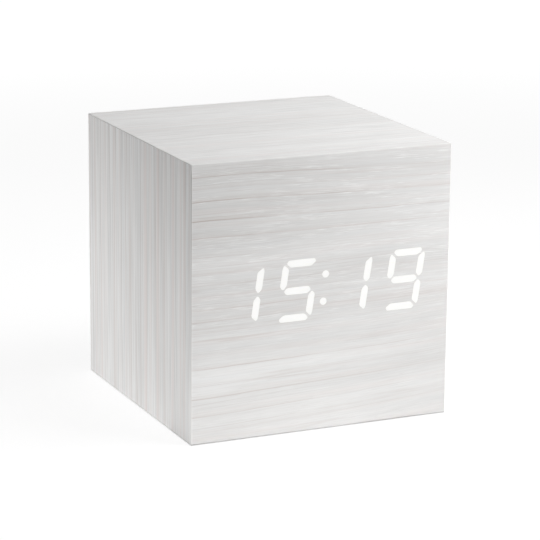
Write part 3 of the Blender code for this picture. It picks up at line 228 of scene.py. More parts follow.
def new_material(name, **constants):
    """A material: itself, its tree, its shader with plain values set, and Object coordinates in mm."""
    made = bpy.data.materials.new(name)
    made.use_nodes = True
    tree = made.node_tree
    shader = tree.nodes["Principled BSDF"]
    for socket, value in constants.items():
        shader.inputs[socket.replace("_", " ")].default_value = value
    place = add(tree, "ShaderNodeTexCoord").outputs["Object"]
    scaled = add(tree, "ShaderNodeVectorMath", {0: place, 1: (1 / MM,) * 3}, operation="MULTIPLY")
    return made, tree, shader, scaled.outputs[0]


def bumped(tree, shader, height, distance, strength=1):
    inputs = {"Height": height, "Distance": distance, "Strength": strength}
    tree.links.new(add(tree, "ShaderNodeBump", inputs).outputs[0], shader.inputs["Normal"])


EASE = 0.25 * MM
EASE_STEPS = 3
half = cad_box[1].x
middle_z = half
sheet_inner = -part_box("front_veneer")[1].y

grain_group, given, end = shader_group(
    "veneer grain",
    {
        "Along": ("Float", 0),
        "Across": ("Float", 0),
        "Seed": ("Float", 0),
        "Streaks": ("Float", 1),
        "Bands": ("Float", 1),
        "Tint": ("Float", 1),
        "Dashes": ("Float", 1),
        "Late Wood": ("Float", 0),
        "Growth Lines": ("Float", 0),
        "Edge Highlight": ("Float", 0),
    },
    {"Color": "Color", "Roughness": "Float", "Height": "Float"},
)
tree = grain_group
along, across, seed = given["Along"], given["Across"], given["Seed"]
wave = streaks(tree, calc(tree, "MULTIPLY", along, 0.02), calc(tree, "MULTIPLY", across, 0.09), seed)
across = calc(tree, "MULTIPLY_ADD", wave, 0.6, across)


def grain_field(along_scale, across_scale, shift, detail=2):
    scaled_along = calc(tree, "MULTIPLY", along, along_scale)
    scaled_across = calc(tree, "MULTIPLY", across, across_scale)
    return streaks(tree, scaled_along, scaled_across, calc(tree, "ADD", seed, shift), detail)


def about_zero(field):
    return calc(tree, "SUBTRACT", field, 0.5)


broad = grain_field(0.006, 0.15, 11.3, 0)
medium = grain_field(0.012, 0.9, 23.7)
fine = grain_field(0.022, 2.4, 37.1)
finest = grain_field(0.07, 5.5, 41.9, 3)
tint = grain_field(0.007, 0.55, 53.3)
wide = calc(tree, "MULTIPLY_ADD", about_zero(broad), 8, about_zero(medium))
thin = calc(tree, "MULTIPLY_ADD", about_zero(finest), 1.6, about_zero(fine))
tone = calc(tree, "MULTIPLY_ADD", wide, given["Bands"], 0.5)
tone = calc(tree, "MULTIPLY_ADD", thin, given["Streaks"], tone)
colour = mixed(tree, tone, (0.700, 0.692, 0.682, 1), (0.880, 0.876, 0.869, 1))
warm = calc(tree, "MULTIPLY", fade(tree, tint, 0.50, 0.68), given["Tint"])
cool = calc(tree, "MULTIPLY", fade(tree, tint, 0.46, 0.30), given["Tint"])
colour = mixed(tree, calc(tree, "MULTIPLY", warm, 0.42), colour, (0.790, 0.746, 0.728, 1))
colour = mixed(tree, calc(tree, "MULTIPLY", cool, 0.18), colour, (0.755, 0.772, 0.782, 1))
colour = mixed(tree, given["Late Wood"], colour, (0.650, 0.590, 0.560, 1))
pores = fade(tree, grain_field(0.16, 4.0, 67.7, 1), 0.34, 0.24)
colour = mixed(tree, calc(tree, "MULTIPLY", pores, 0.14), colour, (0.52, 0.48, 0.45, 1))
flecks = fade(tree, grain_field(0.12, 7.5, 71.9, 1), 0.56, 0.66)
clusters = fade(tree, grain_field(0.03, 0.5, 79.3), 0.40, 0.58)
dashes = calc(tree, "MULTIPLY", calc(tree, "MULTIPLY", flecks, clusters), given["Dashes"])
colour = mixed(tree, dashes, colour, (1, 1, 0.995, 1))
patchy = fade(tree, grain_field(0.022, 0.5, 83.1), 0.30, 0.58)
lines = calc(tree, "MULTIPLY", given["Growth Lines"], patchy)
colour = mixed(tree, lines, colour, (0.500, 0.430, 0.392, 1))
# Painted highlight: a paler colour along the cube's eased edges.
colour = mixed(tree, given["Edge Highlight"], colour, (0.93, 0.925, 0.91, 1))
roughness = calc(tree, "MULTIPLY_ADD", fine, 0.16, 0.40)
height = calc(tree, "SUBTRACT", calc(tree, "MULTIPLY", finest, 0.7), pores)
height = calc(tree, "SUBTRACT", height, calc(tree, "MULTIPLY", lines, 0.4))
hand_out(grain_group, end, {"Color": colour, "Roughness": roughness, "Height": height})

# Mask of the painted highlight: 1 on the cube's eased edges, fading to 0 inwards over the reach.
edge_highlight_group, given, end = shader_group(
    "painted edge highlight", {"Place": ("Vector", (0, 0, 0)), "Reach": ("Float", 0.5)}, {"Edge Highlight": "Float"}
)
tree = edge_highlight_group
centred = add(
    tree, "ShaderNodeVectorMath", {0: given["Place"], 1: (0, 0, middle_z / MM)}, operation="SUBTRACT"
)
sizes = add(tree, "ShaderNodeVectorMath", {0: centred.outputs[0]}, operation="ABSOLUTE")
parts = add(tree, "ShaderNodeSeparateXYZ", {0: sizes.outputs[0]}).outputs
second = calc(tree, "MINIMUM", parts["X"], parts["Y"])
second = calc(tree, "MAXIMUM", second, calc(tree, "MINIMUM", parts["Y"], parts["Z"]))
second = calc(tree, "MAXIMUM", second, calc(tree, "MINIMUM", parts["X"], parts["Z"]))
inward = calc(tree, "SUBTRACT", half / MM, second)
hand_out(edge_highlight_group, end, {"Edge Highlight": fade(tree, inward, given["Reach"], calc(tree, "MULTIPLY", given["Reach"], 0.3))})


def veneer(name, along, across, seed, streak_strength, bands, tint, dashes, stretch=1, growth=None):
    """A sheet's material: streaks along one axis and spread across another, longer where stretched."""
    made, tree, shader, place = new_material(name)
    axes = add(tree, "ShaderNodeSeparateXYZ", {0: place}).outputs
    # edge carries the painted highlight along the cube's eased edges.
    edge = use(tree, edge_highlight_group, {"Place": place, "Reach": 0.42})["Edge Highlight"]
    inputs = {
        "Along": calc(tree, "MULTIPLY", axes[along], 1 / stretch),
        "Across": axes[across],
        "Seed": seed,
        "Streaks": streak_strength,
        "Bands": bands,
        "Tint": tint,
        "Dashes": dashes,
        "Edge Highlight": calc(tree, "MULTIPLY", edge, 0.45),
    }
    if growth is not None:
        inputs.update(growth(tree, axes))
    grain = use(tree, grain_group, inputs)
    tree.links.new(grain["Color"], shader.inputs["Base Color"])
    tree.links.new(grain["Roughness"], shader.inputs["Roughness"])
    bumped(tree, shader, grain["Height"], 0.012 * MM, 0.6)
    return made


# Growth lines of the front sheet: height at the left end in mm, thickness in mm and strength
FRONT_LINES = (
    (61.8, 0.24, 0.60),
    (59.0, 0.20, 0.36),
    (56.1, 0.24, 0.60),
    (51.6, 0.26, 0.72),
    (47.8, 0.20, 0.42),
    (43.6, 0.18, 0.26),
    (39.8, 0.20, 0.38),
    (37.3, 0.20, 0.30),
    (34.8, 0.16, 0.20),
    (31.8, 0.22, 0.44),
    (29.1, 0.22, 0.40),
    (26.4, 0.16, 0.22),
    (23.6, 0.16, 0.14),
    (17.7, 0.26, 0.50),
    (13.9, 0.16, 0.18),
    (10.8, 0.24, 0.42),
    (6.7, 0.22, 0.34),
    (2.9, 0.20, 0.28),
)
LATE_WOOD = 1.3  # mm, height of the brownish band that darkens down to each line
LATE_WOOD_SHARE = 0.45
UNDERLINE = 0.7  # mm, height of the pale band below each line, where most white flecks lie


def front_growth(tree, axes):
    """Growth lines that part towards the right, with more white flecks in the upper half."""
    share = calc(tree, "MULTIPLY_ADD", axes["X"], MM / (2 * half), 0.5)
    bend = calc(tree, "MULTIPLY", share, share)
    span = {"Value": axes["Z"], "From Min": 10, "From Max": 58, "To Min": 2.7, "To Max": -1.2}
    fan = add(tree, "ShaderNodeMapRange", span).outputs["Result"]
    level = calc(tree, "SUBTRACT", axes["Z"], calc(tree, "MULTIPLY", bend, fan))
    drift = streaks(tree, calc(tree, "MULTIPLY", axes["X"], 0.024), calc(tree, "MULTIPLY", level, 0.05), 5.1, 0)
    level = calc(tree, "MULTIPLY_ADD", calc(tree, "SUBTRACT", drift, 0.5), 1.3, level)
    tremor = streaks(tree, calc(tree, "MULTIPLY", axes["X"], 0.11), calc(tree, "MULTIPLY", level, 0.3), 2.4, 1)
    wavy = calc(tree, "MULTIPLY_ADD", calc(tree, "SUBTRACT", tremor, 0.5), 0.35, level)
    mask = 0
    late = 0
    under = 0
    for height, thickness, strength in FRONT_LINES:
        above = calc(tree, "SUBTRACT", wavy, height)
        line = calc(tree, "MULTIPLY", fade(tree, above, -0.5 * thickness, 0), fade(tree, above, thickness, 0))
        mask = calc(tree, "MAXIMUM", mask, calc(tree, "MULTIPLY", line, strength))
        band = calc(tree, "MULTIPLY", fade(tree, above, LATE_WOOD, 0), fade(tree, above, -0.5 * thickness, 0))
        late = calc(tree, "MAXIMUM", late, calc(tree, "MULTIPLY", band, LATE_WOOD_SHARE * strength))
        pale = calc(tree, "MULTIPLY", fade(tree, above, -UNDERLINE, -thickness), calc(tree, "LESS_THAN", above, 0))
        under = calc(tree, "MAXIMUM", under, calc(tree, "MULTIPLY", pale, strength))
    leftward = calc(tree, "SUBTRACT", 1.15, calc(tree, "MULTIPLY", share, 0.75))
    field = streaks(tree, calc(tree, "MULTIPLY", axes["X"], 0.008), calc(tree, "MULTIPLY", level, 0.6), 9.7, 1)
    hair = fade(tree, calc(tree, "ABSOLUTE", calc(tree, "SUBTRACT", field, 0.5)), 0.022, 0.004)
    mask = calc(tree, "MAXIMUM", mask, calc(tree, "MULTIPLY", hair, 0.24))
    dashes = calc(tree, "MULTIPLY_ADD", fade(tree, axes["Z"], 12, 46), 0.46, 0.14)
    return {
        "Growth Lines": calc(tree, "MULTIPLY", mask, leftward),
        "Late Wood": calc(tree, "MULTIPLY", late, leftward),
        "Dashes": calc(tree, "MULTIPLY_ADD", under, 0.4, dashes),
        "Across": level,
    }


def contour_growth(along, across, across_scale, width, strength):
    """Irregular growth lines, where a noise drawn out along the grain passes through its middle."""

    def growth(tree, axes):
        scaled_along = calc(tree, "MULTIPLY", axes[along], 0.004)
        scaled_across = calc(tree, "MULTIPLY", axes[across], across_scale)
        field = streaks(tree, scaled_along, scaled_across, 9.7, 1)
        away = calc(tree, "ABSOLUTE", calc(tree, "SUBTRACT", field, 0.5))
        return {"Growth Lines": calc(tree, "MULTIPLY", fade(tree, away, width, 0.2 * width), strength)}

    return growth


def mesh_from(shape, name, material, smooth_angle=30):
    """The mesh of a closed bmesh shape, faces outward, shaded smooth but at its sharp edges."""
    bmesh.ops.remove_doubles(shape, verts=shape.verts, dist=0.0005 * MM)
    bmesh.ops.recalc_face_normals(shape, faces=shape.faces)
    mesh = bpy.data.meshes.new(name)
    shape.to_mesh(mesh)
    shape.free()
    mesh.materials.append(material)
    mesh.shade_smooth()
    mesh.set_sharp_from_angle(angle=math.radians(smooth_angle))
    return mesh


def add_loft(shape, rings, capped=True):
    """Quads between rings of as many points, and a face over each end."""
    rows = [[shape.verts.new(point) for point in ring] for ring in rings]
    for near, far in zip(rows, rows[1:]):
        for i in range(len(near)):
            shape.faces.new((near[i - 1], near[i], far[i], far[i - 1]))
    if capped:
        shape.faces.new(rows[0])
        shape.faces.new(rows[-1])
    return rows


def show(name, mesh, body, slot, *replaced):
    """A finished piece in its place, on its body, for the nodes that it stands for, which it hides; slot is not used.
    """
    made = bpy.data.objects.new(name, mesh)
    bpy.context.scene.collection.objects.link(made)
    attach(made, body)
    if replaced:
        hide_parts(*replaced)
    return made


EASE_TURNS = [math.radians(45) * i / EASE_STEPS for i in range(EASE_STEPS + 1)]


def side_sheet(name, way, material):
    """A sheet that faces way, mitred at three edges, its rear end flush with the back of the case."""
    rear = Vector((0, 1, 0))
    across = way.cross(rear)
    rings = []
    for turn in EASE_TURNS:
        out = half - EASE + EASE * math.sin(turn)
        depth = half - EASE + EASE * math.cos(turn)
        end = half - EASE + EASE * math.sin(2 * turn)
        end_depth = half - EASE + EASE * math.cos(2 * turn)
        flat = half - EASE
        rings.append(
            [(-out, -out, depth), (out, -out, depth), (out, flat, depth)]
            + [(flat, end, end_depth), (-flat, end, end_depth), (-out, flat, depth)]
        )
    inner = sheet_inner
    rings.append(
        [(-inner, -inner, inner), (inner, -inner, inner), (inner, half - EASE, inner)]
        + [(inner, half, inner), (-inner, half, inner), (-inner, half - EASE, inner)]
    )
    centre = Vector((0, 0, middle_z))
    shape = bmesh.new()
    add_loft(shape, [[centre + across * u + rear * v + way * w for u, v, w in ring] for ring in rings])
    mesh = mesh_from(shape, f"{name}_sheet", material)
    return show(f"{name}_veneer_sheet", mesh, "case", "veneer", f"{name}_veneer")


upright_lines = contour_growth("Z", "Y", 0.55, 0.045, 0.32)
level_lines = contour_growth("X", "Y", 0.30, 0.020, 0.10)
SIDE_SHEETS = {
    "top": ((0, 0, 1), veneer("top veneer", "X", "Y", 3.1, 2.1, 0.11, 0.8, 0.2, 0.7, level_lines)),
    "bottom": ((0, 0, -1), veneer("bottom veneer", "X", "Y", 14.7, 2.1, 0.11, 0.8, 0.2, 0.7, level_lines)),
    "left": ((-1, 0, 0), veneer("left veneer", "Z", "Y", 25.9, 3.6, 0.09, 2.2, 0.1, 1.8, upright_lines)),
    "right": ((1, 0, 0), veneer("right veneer", "Z", "Y", 36.5, 3.6, 0.09, 2.2, 0.1, 1.8, upright_lines)),
}
for name, (way, material) in SIDE_SHEETS.items():
    side_sheet(name, Vector(way), material)

# Edge band: four strips of the same veneer over the boards' rear ends, mitred in the corners,
# each with its grain along its own length.
band_low, band_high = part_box("rear_edge_band")
band_inner = -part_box("left_board")[1].x
BAND_EASE = 0.12 * MM
for name, turns, along, across in (("upper", 0, "X", "Z"), ("left", 1, "Z", "X"), ("lower", 2, "X", "Z"), ("right", 3, "Z", "X")):
    turn = Matrix.Rotation(math.radians(90 * turns), 3, "Y")
    rings = []
    for inset, y in ((0, band_low.y), (0, band_high.y - BAND_EASE), (BAND_EASE, band_high.y)):
        low, high = band_inner + inset, band_high.x - inset
        rings.append([(-low, y, low), (low, y, low), (high, y, high), (-high, y, high)])
    centre = Vector((0, 0, middle_z))
    shape = bmesh.new()
    add_loft(shape, [[centre + turn @ Vector(point) for point in ring] for ring in rings])
    material = veneer(f"{name} edge band", along, across, 47.3 + turns, 1.5, 0.12, 1.0, 0.2)
    replaced = ["rear_edge_band"] if name == "upper" else []
    show(f"{name}_edge_band", mesh_from(shape, f"{name}_band", material), "case", "veneer", *replaced)


# Lit bars: clear lens plates behind the front sheet, whose raised bars end flush with the wood.
# The time shows as white bars with slightly soft corners, and a breath of grain over the light.
def flat_faces_at(node, y):
    """Outlines (x, z) of the node's flat faces that lie at y."""
    shape = bmesh.new()
    shape.from_mesh(nodes[node].data)
    bmesh.ops.remove_doubles(shape, verts=shape.verts, dist=0.001 * MM)
    bmesh.ops.dissolve_limit(shape, angle_limit=math.radians(1), verts=shape.verts, edges=shape.edges)
    found = []
    for face in shape.faces:
        if all(abs(vert.co.y - y) < 0.01 * MM for vert in face.verts):
            found.append([Vector((vert.co.x, vert.co.z)) for vert in face.verts])
    shape.free()
    return found


CORNER_RADIUS = 0.45 * MM
CORNER_STEPS = 4
DOT_SIDES = 48


def softened(outline):
    """A bar's outline with rounded corners, or a smooth circle for a dot of the colon."""
    if len(outline) > 8:
        low = Vector((min(p.x for p in outline), min(p.y for p in outline)))
        high = Vector((max(p.x for p in outline), max(p.y for p in outline)))
        centre, radius = (low + high) / 2, (high.x - low.x) / 2
        turns = [2 * math.pi * i / DOT_SIDES for i in range(DOT_SIDES)]
        return [centre + radius * Vector((math.cos(t), math.sin(t))) for t in turns]
    result = []
    for before, corner, after in zip(outline[-1:] + outline, outline, outline[1:] + outline[:1]):
        reach = min(CORNER_RADIUS, 0.4 * (before - corner).length, 0.4 * (after - corner).length)
        start = corner + (before - corner).normalized() * reach
        end = corner + (after - corner).normalized() * reach
        for i in range(CORNER_STEPS + 1):
            t = i / CORNER_STEPS
            result.append(start * (1 - t) ** 2 + corner * 2 * t * (1 - t) + end * t**2)
    return result


LENSES = ("first_digit_lens", "second_digit_lens", "colon_lens", "third_digit_lens", "fourth_digit_lens")
bars_of = {node: [softened(outline) for outline in flat_faces_at(node, -half)] for node in LENSES}

lit_material, tree, shader, place = new_material("lit bars", Roughness=0.45, Emission_Strength=0.66)
axes = add(tree, "ShaderNodeSeparateXYZ", {0: place}).outputs
veil = streaks(tree, calc(tree, "MULTIPLY", axes["X"], 0.12), calc(tree, "MULTIPLY", axes["Z"], 3.4), 8.2, 3)
tree.links.new(mixed(tree, veil, (0.90, 0.90, 0.89, 1), (1, 1, 0.99, 1)), shader.inputs["Emission Color"])
tree.links.new(mixed(tree, veil, (0.33, 0.33, 0.32, 1), (0.40, 0.40, 0.39, 1)), shader.inputs["Base Color"])
bumped(tree, shader, veil, 0.01 * MM, 0.4)

for node, bars in bars_of.items():
    low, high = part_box(node)
    plate_front = -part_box("front_board")[0].y
    shape = bmesh.new()
    plates = [outline for outline in flat_faces_at(node, high.y)]
    for outline in plates:
        add_loft(shape, [[(p.x, y, p.y) for p in outline] for y in (-plate_front, high.y)])
    for bar in bars:
        add_loft(shape, [[(p.x, y, p.y) for p in bar] for y in (-half, -plate_front + 0.2 * MM)])
    show(f"{node}_lit", mesh_from(shape, node, lit_material), "case", "lit_lens", node)


# Front sheet: one flat face with a window for each lit bar, eased and mitred on all four edges.
def inside(point, outline):
    """True where a point lies within an outline."""
    hit = False
    for start, end in zip(outline, outline[1:] + outline[:1]):
        if (start.y > point.y) != (end.y > point.y):
            if point.x < start.x + (point.y - start.y) * (end.x - start.x) / (end.y - start.y):
                hit = not hit
    return hit


front_bars = [bar for bars in bars_of.values() for bar in bars]
flat = half - EASE
square = [Vector((x, middle_z + z)) for x, z in ((-flat, -flat), (flat, -flat), (flat, flat), (-flat, flat))]
points, edges = [], []
for outline in [square, *front_bars]:
    first = len(points)
    points += outline
    edges += [(first + i, first + (i + 1) % len(outline)) for i in range(len(outline))]
found, _, triangles, *_ = geometry.delaunay_2d_cdt(points, edges, [], 1, 1e-9)
shape = bmesh.new()
levels = []
for y, out in ((-half, half - EASE), (-sheet_inner, sheet_inner)):
    grow = out / flat
    level = []
    for x, z in found:
        at_edge = abs(x) > flat - EASE / 10 or abs(z - middle_z) > flat - EASE / 10
        scale = grow if at_edge else 1
        level.append(shape.verts.new((x * scale, y, middle_z + (z - middle_z) * scale)))
    levels.append(level)
for triangle in triangles:
    centre = sum((found[i] for i in triangle), Vector((0, 0))) / 3
    if not any(inside(centre, bar) for bar in front_bars):
        for level in levels:
            shape.faces.new([level[i] for i in triangle])
for bar in front_bars:
    add_loft(shape, [[(p.x, y, p.y) for p in bar] for y in (-half, -sheet_inner)], capped=False)
rings = []
for turn in EASE_TURNS:
    rings.append((half - EASE + EASE * math.sin(turn), half - EASE + EASE * math.cos(turn)))
rings.append((sheet_inner, sheet_inner))
signs = ((-1, -1), (1, -1), (1, 1), (-1, 1))
add_loft(shape, [[(x * out, -deep, middle_z + z * out) for x, z in signs] for out, deep in rings], capped=False)
front_material = veneer("front veneer", "X", "Z", 0.7, 0.52, 0.13, 0.75, 0.5, 0.5, front_growth)
mesh = mesh_from(shape, "front_sheet", front_material)
show("front_veneer_sheet", mesh, "case", "veneer", "front_veneer")


# Rear cover: one moulding of black plastic with a fine spark-eroded texture, which carries the
# battery well, the screw posts and the holes for the controls. Four screws hold it to the case.
plastic_group, given, end = shader_group(
    "moulded plastic",
    {"Place": ("Vector", (0, 0, 0)), "Tone": ("Color", (0.02, 0.02, 0.02, 1)), "Texture": ("Float", 1)},
    {"Color": "Color", "Roughness": "Float", "Height": "Float"},
)
tree = plastic_group
pits = add(tree, "ShaderNodeTexNoise", {"Vector": given["Place"], "Scale": 4.5, "Detail": 3}).outputs[0]
cells = add(tree, "ShaderNodeTexVoronoi", {"Vector": given["Place"], "Scale": 5.5}).outputs["Distance"]
clouds = add(tree, "ShaderNodeTexNoise", {"Vector": given["Place"], "Scale": 0.12, "Detail": 4}).outputs[0]
dust = fade(tree, add(tree, "ShaderNodeTexNoise", {"Vector": given["Place"], "Scale": 2.2}).outputs[0], 0.68, 0.76)
lighter = mixed(tree, 1, given["Tone"], (1.7, 1.7, 1.7, 1), "MULTIPLY")
colour = mixed(tree, clouds, given["Tone"], lighter)
colour = mixed(tree, calc(tree, "MULTIPLY", dust, 0.05), colour, (0.5, 0.5, 0.48, 1))
roughness = calc(tree, "MULTIPLY_ADD", clouds, 0.18, 0.38)
roughness = calc(tree, "MULTIPLY_ADD", pits, 0.12, roughness)
height = calc(tree, "MULTIPLY", calc(tree, "ADD", pits, calc(tree, "MULTIPLY", cells, 0.8)), given["Texture"])
hand_out(plastic_group, end, {"Color": colour, "Roughness": roughness, "Height": height})


def moulded(name, tone, texture, depth=0.02):
    """A moulded material: texture scales its grain, depth is the height of its bumps in mm."""
    made, tree, shader, place = new_material(name)
    surface = use(tree, plastic_group, {"Place": place, "Tone": (*tone, 1), "Texture": texture})
    tree.links.new(surface["Color"], shader.inputs["Base Color"])
    tree.links.new(surface["Roughness"], shader.inputs["Roughness"])
    bumped(tree, shader, surface["Height"], depth * MM, 0.7)
    return made


def plain_faces(shape, least=math.radians(1), most=math.radians(32)):
    """Indices of the faces that are part of no round surface, so that no neighbour lies at a small angle."""
    round_faces = set()
    for edge in shape.edges:
        if len(edge.link_faces) == 2 and least < edge.calc_face_angle() < most:
            round_faces.update(face.index for face in edge.link_faces)
    return {face.index for face in shape.faces} - round_faces


def eased(node, width, material, segments=2):
    """A node's mesh, its triangles merged into flat faces and its edges rounded by a width."""
    shape = bmesh.new()
    shape.from_mesh(nodes[node].data)
    bmesh.ops.remove_doubles(shape, verts=shape.verts, dist=0.001 * MM)
    bmesh.ops.dissolve_limit(shape, angle_limit=math.radians(0.5), verts=shape.verts, edges=shape.edges)
    shape.faces.index_update()
    plain = plain_faces(shape)
    for face in shape.faces:
        face.material_index = 0 if face.index in plain else 1
    mesh = bpy.data.meshes.new(node)
    shape.to_mesh(mesh)
    shape.free()
    mesh.materials.clear()
    for _ in range(3):
        mesh.materials.append(material)
    holder = bpy.data.objects.new("holder", mesh)
    bpy.context.scene.collection.objects.link(holder)
    bevel = holder.modifiers.new("rounded", "BEVEL")
    bevel.width = width
    bevel.segments = segments
    bevel.limit_method = "ANGLE"
    bevel.angle_limit = math.radians(30)
    bevel.material = 2
    result = bpy.data.meshes.new_from_object(holder.evaluated_get(bpy.context.evaluated_depsgraph_get()))
    bpy.data.objects.remove(holder)
    if "custom_normal" in result.attributes:
        result.attributes.remove(result.attributes["custom_normal"])
    result.shade_smooth()
    result.set_sharp_from_angle(angle=math.radians(32))
    for face in result.polygons:
        face.use_smooth = face.material_index > 0
        face.material_index = 0
    result.materials.clear()
    result.materials.append(material)
    return result


cover_material = moulded("cover plastic", (0.020, 0.020, 0.022), 1, 0.04)
show("rear_cover_moulding", eased("rear_cover", 0.12 * MM, cover_material), "case", "black_plastic", "rear_cover")

# Signs beside the buttons: a ring for the menu, an arrow up and an arrow down, each moulded
# proud of the cover as a low flat shape.
SIGN_RISE = 0.12 * MM
SIGN_SIZE = 0.9 * MM
SIGN_GAP = 1.35 * MM
RING_INNER = 0.65
RING_STEPS = 22
RING_GAP = math.radians(30)
RING_GAP_END = math.radians(105)
cover_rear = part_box("rear_cover")[1].y


def add_sign(shape, x, z, outline):
    low, high = cover_rear - SIGN_RISE, cover_rear + SIGN_RISE
    add_loft(shape, [[(x + u * scale, y, z + v * scale) for u, v in outline] for y, scale in (
        (low, SIGN_SIZE), (high - SIGN_RISE / 4, SIGN_SIZE), (high, 0.9 * SIGN_SIZE))])


arrow = [(-1, -0.75), (1, -0.75), (0, 0.9)]
shape = bmesh.new()
for name, flip in (("up", 1), ("down", -1)):
    low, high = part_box(f"{name}_button")
    add_sign(shape, (low.x + high.x) / 2, high.z + SIGN_GAP - 0.7 * MM, [(u, flip * v) for u, v in arrow])
low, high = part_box("mode_button")
ring_x, ring_z = (low.x + high.x) / 2, high.z + SIGN_GAP - 0.7 * MM
sections = []
for i in range(RING_STEPS + 1):
    turn = RING_GAP_END + (2 * math.pi - RING_GAP) * i / RING_STEPS
    section = []
    for r, y in ((RING_INNER, -SIGN_RISE), (1, -SIGN_RISE), (1, SIGN_RISE), (RING_INNER, SIGN_RISE)):
        reach = r * SIGN_SIZE
        section.append((ring_x + reach * math.cos(turn), cover_rear + y, ring_z + reach * math.sin(turn)))
    sections.append(section)
add_loft(shape, sections)
show("button_signs", mesh_from(shape, "signs", moulded("sign paint", (0.30, 0.30, 0.30), 0.3)), "case", "black_plastic")


# Buttons: three turned caps of the same plastic, polished smooth, with a dished top. Each slides
# in its hole and rests on the plunger of its switch.
def turned(shape, profile, sides, base, way, materials=None):
    """Adds (radius, distance) points turned about the line from base along way."""
    way = Vector(way)
    side = way.orthogonal().normalized()
    other = way.cross(side)
    base = Vector(base)
    rows = []
    for radius, distance in profile:
        turns = [2 * math.pi * i / sides for i in range(sides)]
        ring = [base + way * distance + (side * math.cos(t) + other * math.sin(t)) * radius for t in turns]
        rows.append([shape.verts.new(point) for point in ring])
    for index, (near, far) in enumerate(zip(rows, rows[1:])):
        for i in range(sides):
            face = shape.faces.new((near[i - 1], near[i], far[i], far[i - 1]))
            face.material_index = materials[index] if materials else 0
    for row, index in ((rows[0], 0), (rows[-1], -1)):
        face = shape.faces.new(row)
        face.material_index = materials[index] if materials else 0


button_material = moulded("button plastic", (0.03, 0.03, 0.032), 0.25, 0.012)
CAP_SIDES = 56
CAP_EASE = 0.35 * MM
CAP_DISH = 0.28 * MM
for name in ("mode", "up", "down"):
    low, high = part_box(f"{name}_button")
    hole = 2.3 * MM
    flange = (high.x - low.x) / 2
    reach = high.y - low.y
    x, z = (low.x + high.x) / 2, (low.z + high.z) / 2
    profile = [(flange, 0), (flange, 0.7 * MM), (flange - 0.1 * MM, 0.8 * MM), (hole, 0.8 * MM)]
    for i in range(5):
        turn = math.radians(90) * i / 4
        profile.append((hole - CAP_EASE * (1 - math.cos(turn)), reach - CAP_EASE * (1 - math.sin(turn))))
    dish = hole - CAP_EASE - 0.15 * MM
    for i in range(5):
        share = 1 - i / 5
        profile.append((dish * share, reach - CAP_DISH * (1 - share**2)))
    shape = bmesh.new()
    turned(shape, profile, CAP_SIDES, (x, low.y, z), (0, 1, 0))
    mesh = mesh_from(shape, f"{name}_cap", button_material)
    show(f"{name}_button_cap", mesh, f"{name}_key", "black_plastic", f"{name}_button")


# Screws: cross-recessed pan heads on plain shanks. Blackened ones hold the rear cover, bright
# ones the circuit boards. Each stands at its own angle, as the driver left it.
def geometry_group(name, inputs):
    """A tree of Geometry Nodes: itself, the values that it is given and its output node."""
    tree = bpy.data.node_groups.new(name, "GeometryNodeTree")
    tree.interface.new_socket("Geometry", in_out="INPUT", socket_type="NodeSocketGeometry")
    for socket, (kind, value) in inputs.items():
        made = tree.interface.new_socket(socket, in_out="INPUT", socket_type=f"NodeSocket{kind}")
        if value is not None:
            made.default_value = value
    tree.interface.new_socket("Geometry", in_out="OUTPUT", socket_type="NodeSocketGeometry")
    return tree, tree.nodes.new("NodeGroupInput").outputs, tree.nodes.new("NodeGroupOutput")


def grow(tree, name, places, values):
    """The plain mesh that a tree makes at the places, its inputs set by their identifiers."""
    base = bpy.data.meshes.new(name)
    base.from_pydata(places, [], [])
    holder = bpy.data.objects.new(name, base)
    bpy.context.scene.collection.objects.link(holder)
    modifier = holder.modifiers.new(name, "NODES")
    modifier.node_group = tree
    for item in tree.interface.items_tree:
        if item.in_out == "INPUT" and item.name in values:
            modifier[item.identifier] = values[item.name]
    mesh = bpy.data.meshes.new_from_object(holder.evaluated_get(bpy.context.evaluated_depsgraph_get()))
    bpy.data.objects.remove(holder)
    mesh.shade_smooth()
    mesh.set_sharp_from_angle(angle=math.radians(32))
    return mesh


def size3(tree, x, y, z):
    return add(tree, "ShaderNodeCombineXYZ", {"X": x, "Y": y, "Z": z}).outputs[0]


def moved(tree, shape, z):
    inputs = {"Geometry": shape, "Translation": size3(tree, 0, 0, z)}
    return add(tree, "GeometryNodeTransform", inputs).outputs[0]


tree, given, end = geometry_group(
    "pan head screws",
    {
        "Head Diameter": ("Float", 3.8 * MM),
        "Head Height": ("Float", 1.3 * MM),
        "Shank Diameter": ("Float", 2.0 * MM),
        "Length": ("Float", 9 * MM),
        "Merge Distance": ("Float", 0.012 * MM),
        "Turn": ("Rotation", None),
        "Seed": ("Int", 1),
        "Material": ("Material", None),
    },
)
radius = calc(tree, "DIVIDE", given["Head Diameter"], 2)
height = given["Head Height"]
barrel = add(tree, "GeometryNodeMeshCylinder", {"Vertices": 40, "Radius": radius, "Depth": height})
barrel = moved(tree, barrel.outputs[0], calc(tree, "DIVIDE", height, 2))
dome = add(tree, "GeometryNodeMeshUVSphere", {"Segments": 40, "Rings": 20, "Radius": radius})
squash = size3(tree, 1.12, 1.12, calc(tree, "DIVIDE", calc(tree, "MULTIPLY", height, 1.02), radius))
dome = add(tree, "GeometryNodeTransform", {"Geometry": dome.outputs[0], "Scale": squash}).outputs[0]
head = add(tree, "GeometryNodeMeshBoolean", {"Mesh 2": barrel}, operation="INTERSECT", solver="EXACT")
tree.links.new(dome, head.inputs["Mesh 2"])
arm = calc(tree, "MULTIPLY", given["Head Diameter"], 0.56)
thick = calc(tree, "MULTIPLY", given["Head Diameter"], 0.13)
cross = add(tree, "GeometryNodeMeshBoolean", operation="UNION", solver="EXACT")
for sides in ((arm, thick), (thick, arm)):
    bar = add(tree, "GeometryNodeMeshCube", {"Size": size3(tree, *sides, height)}).outputs[0]
    tree.links.new(moved(tree, bar, height), cross.inputs["Mesh 2"])
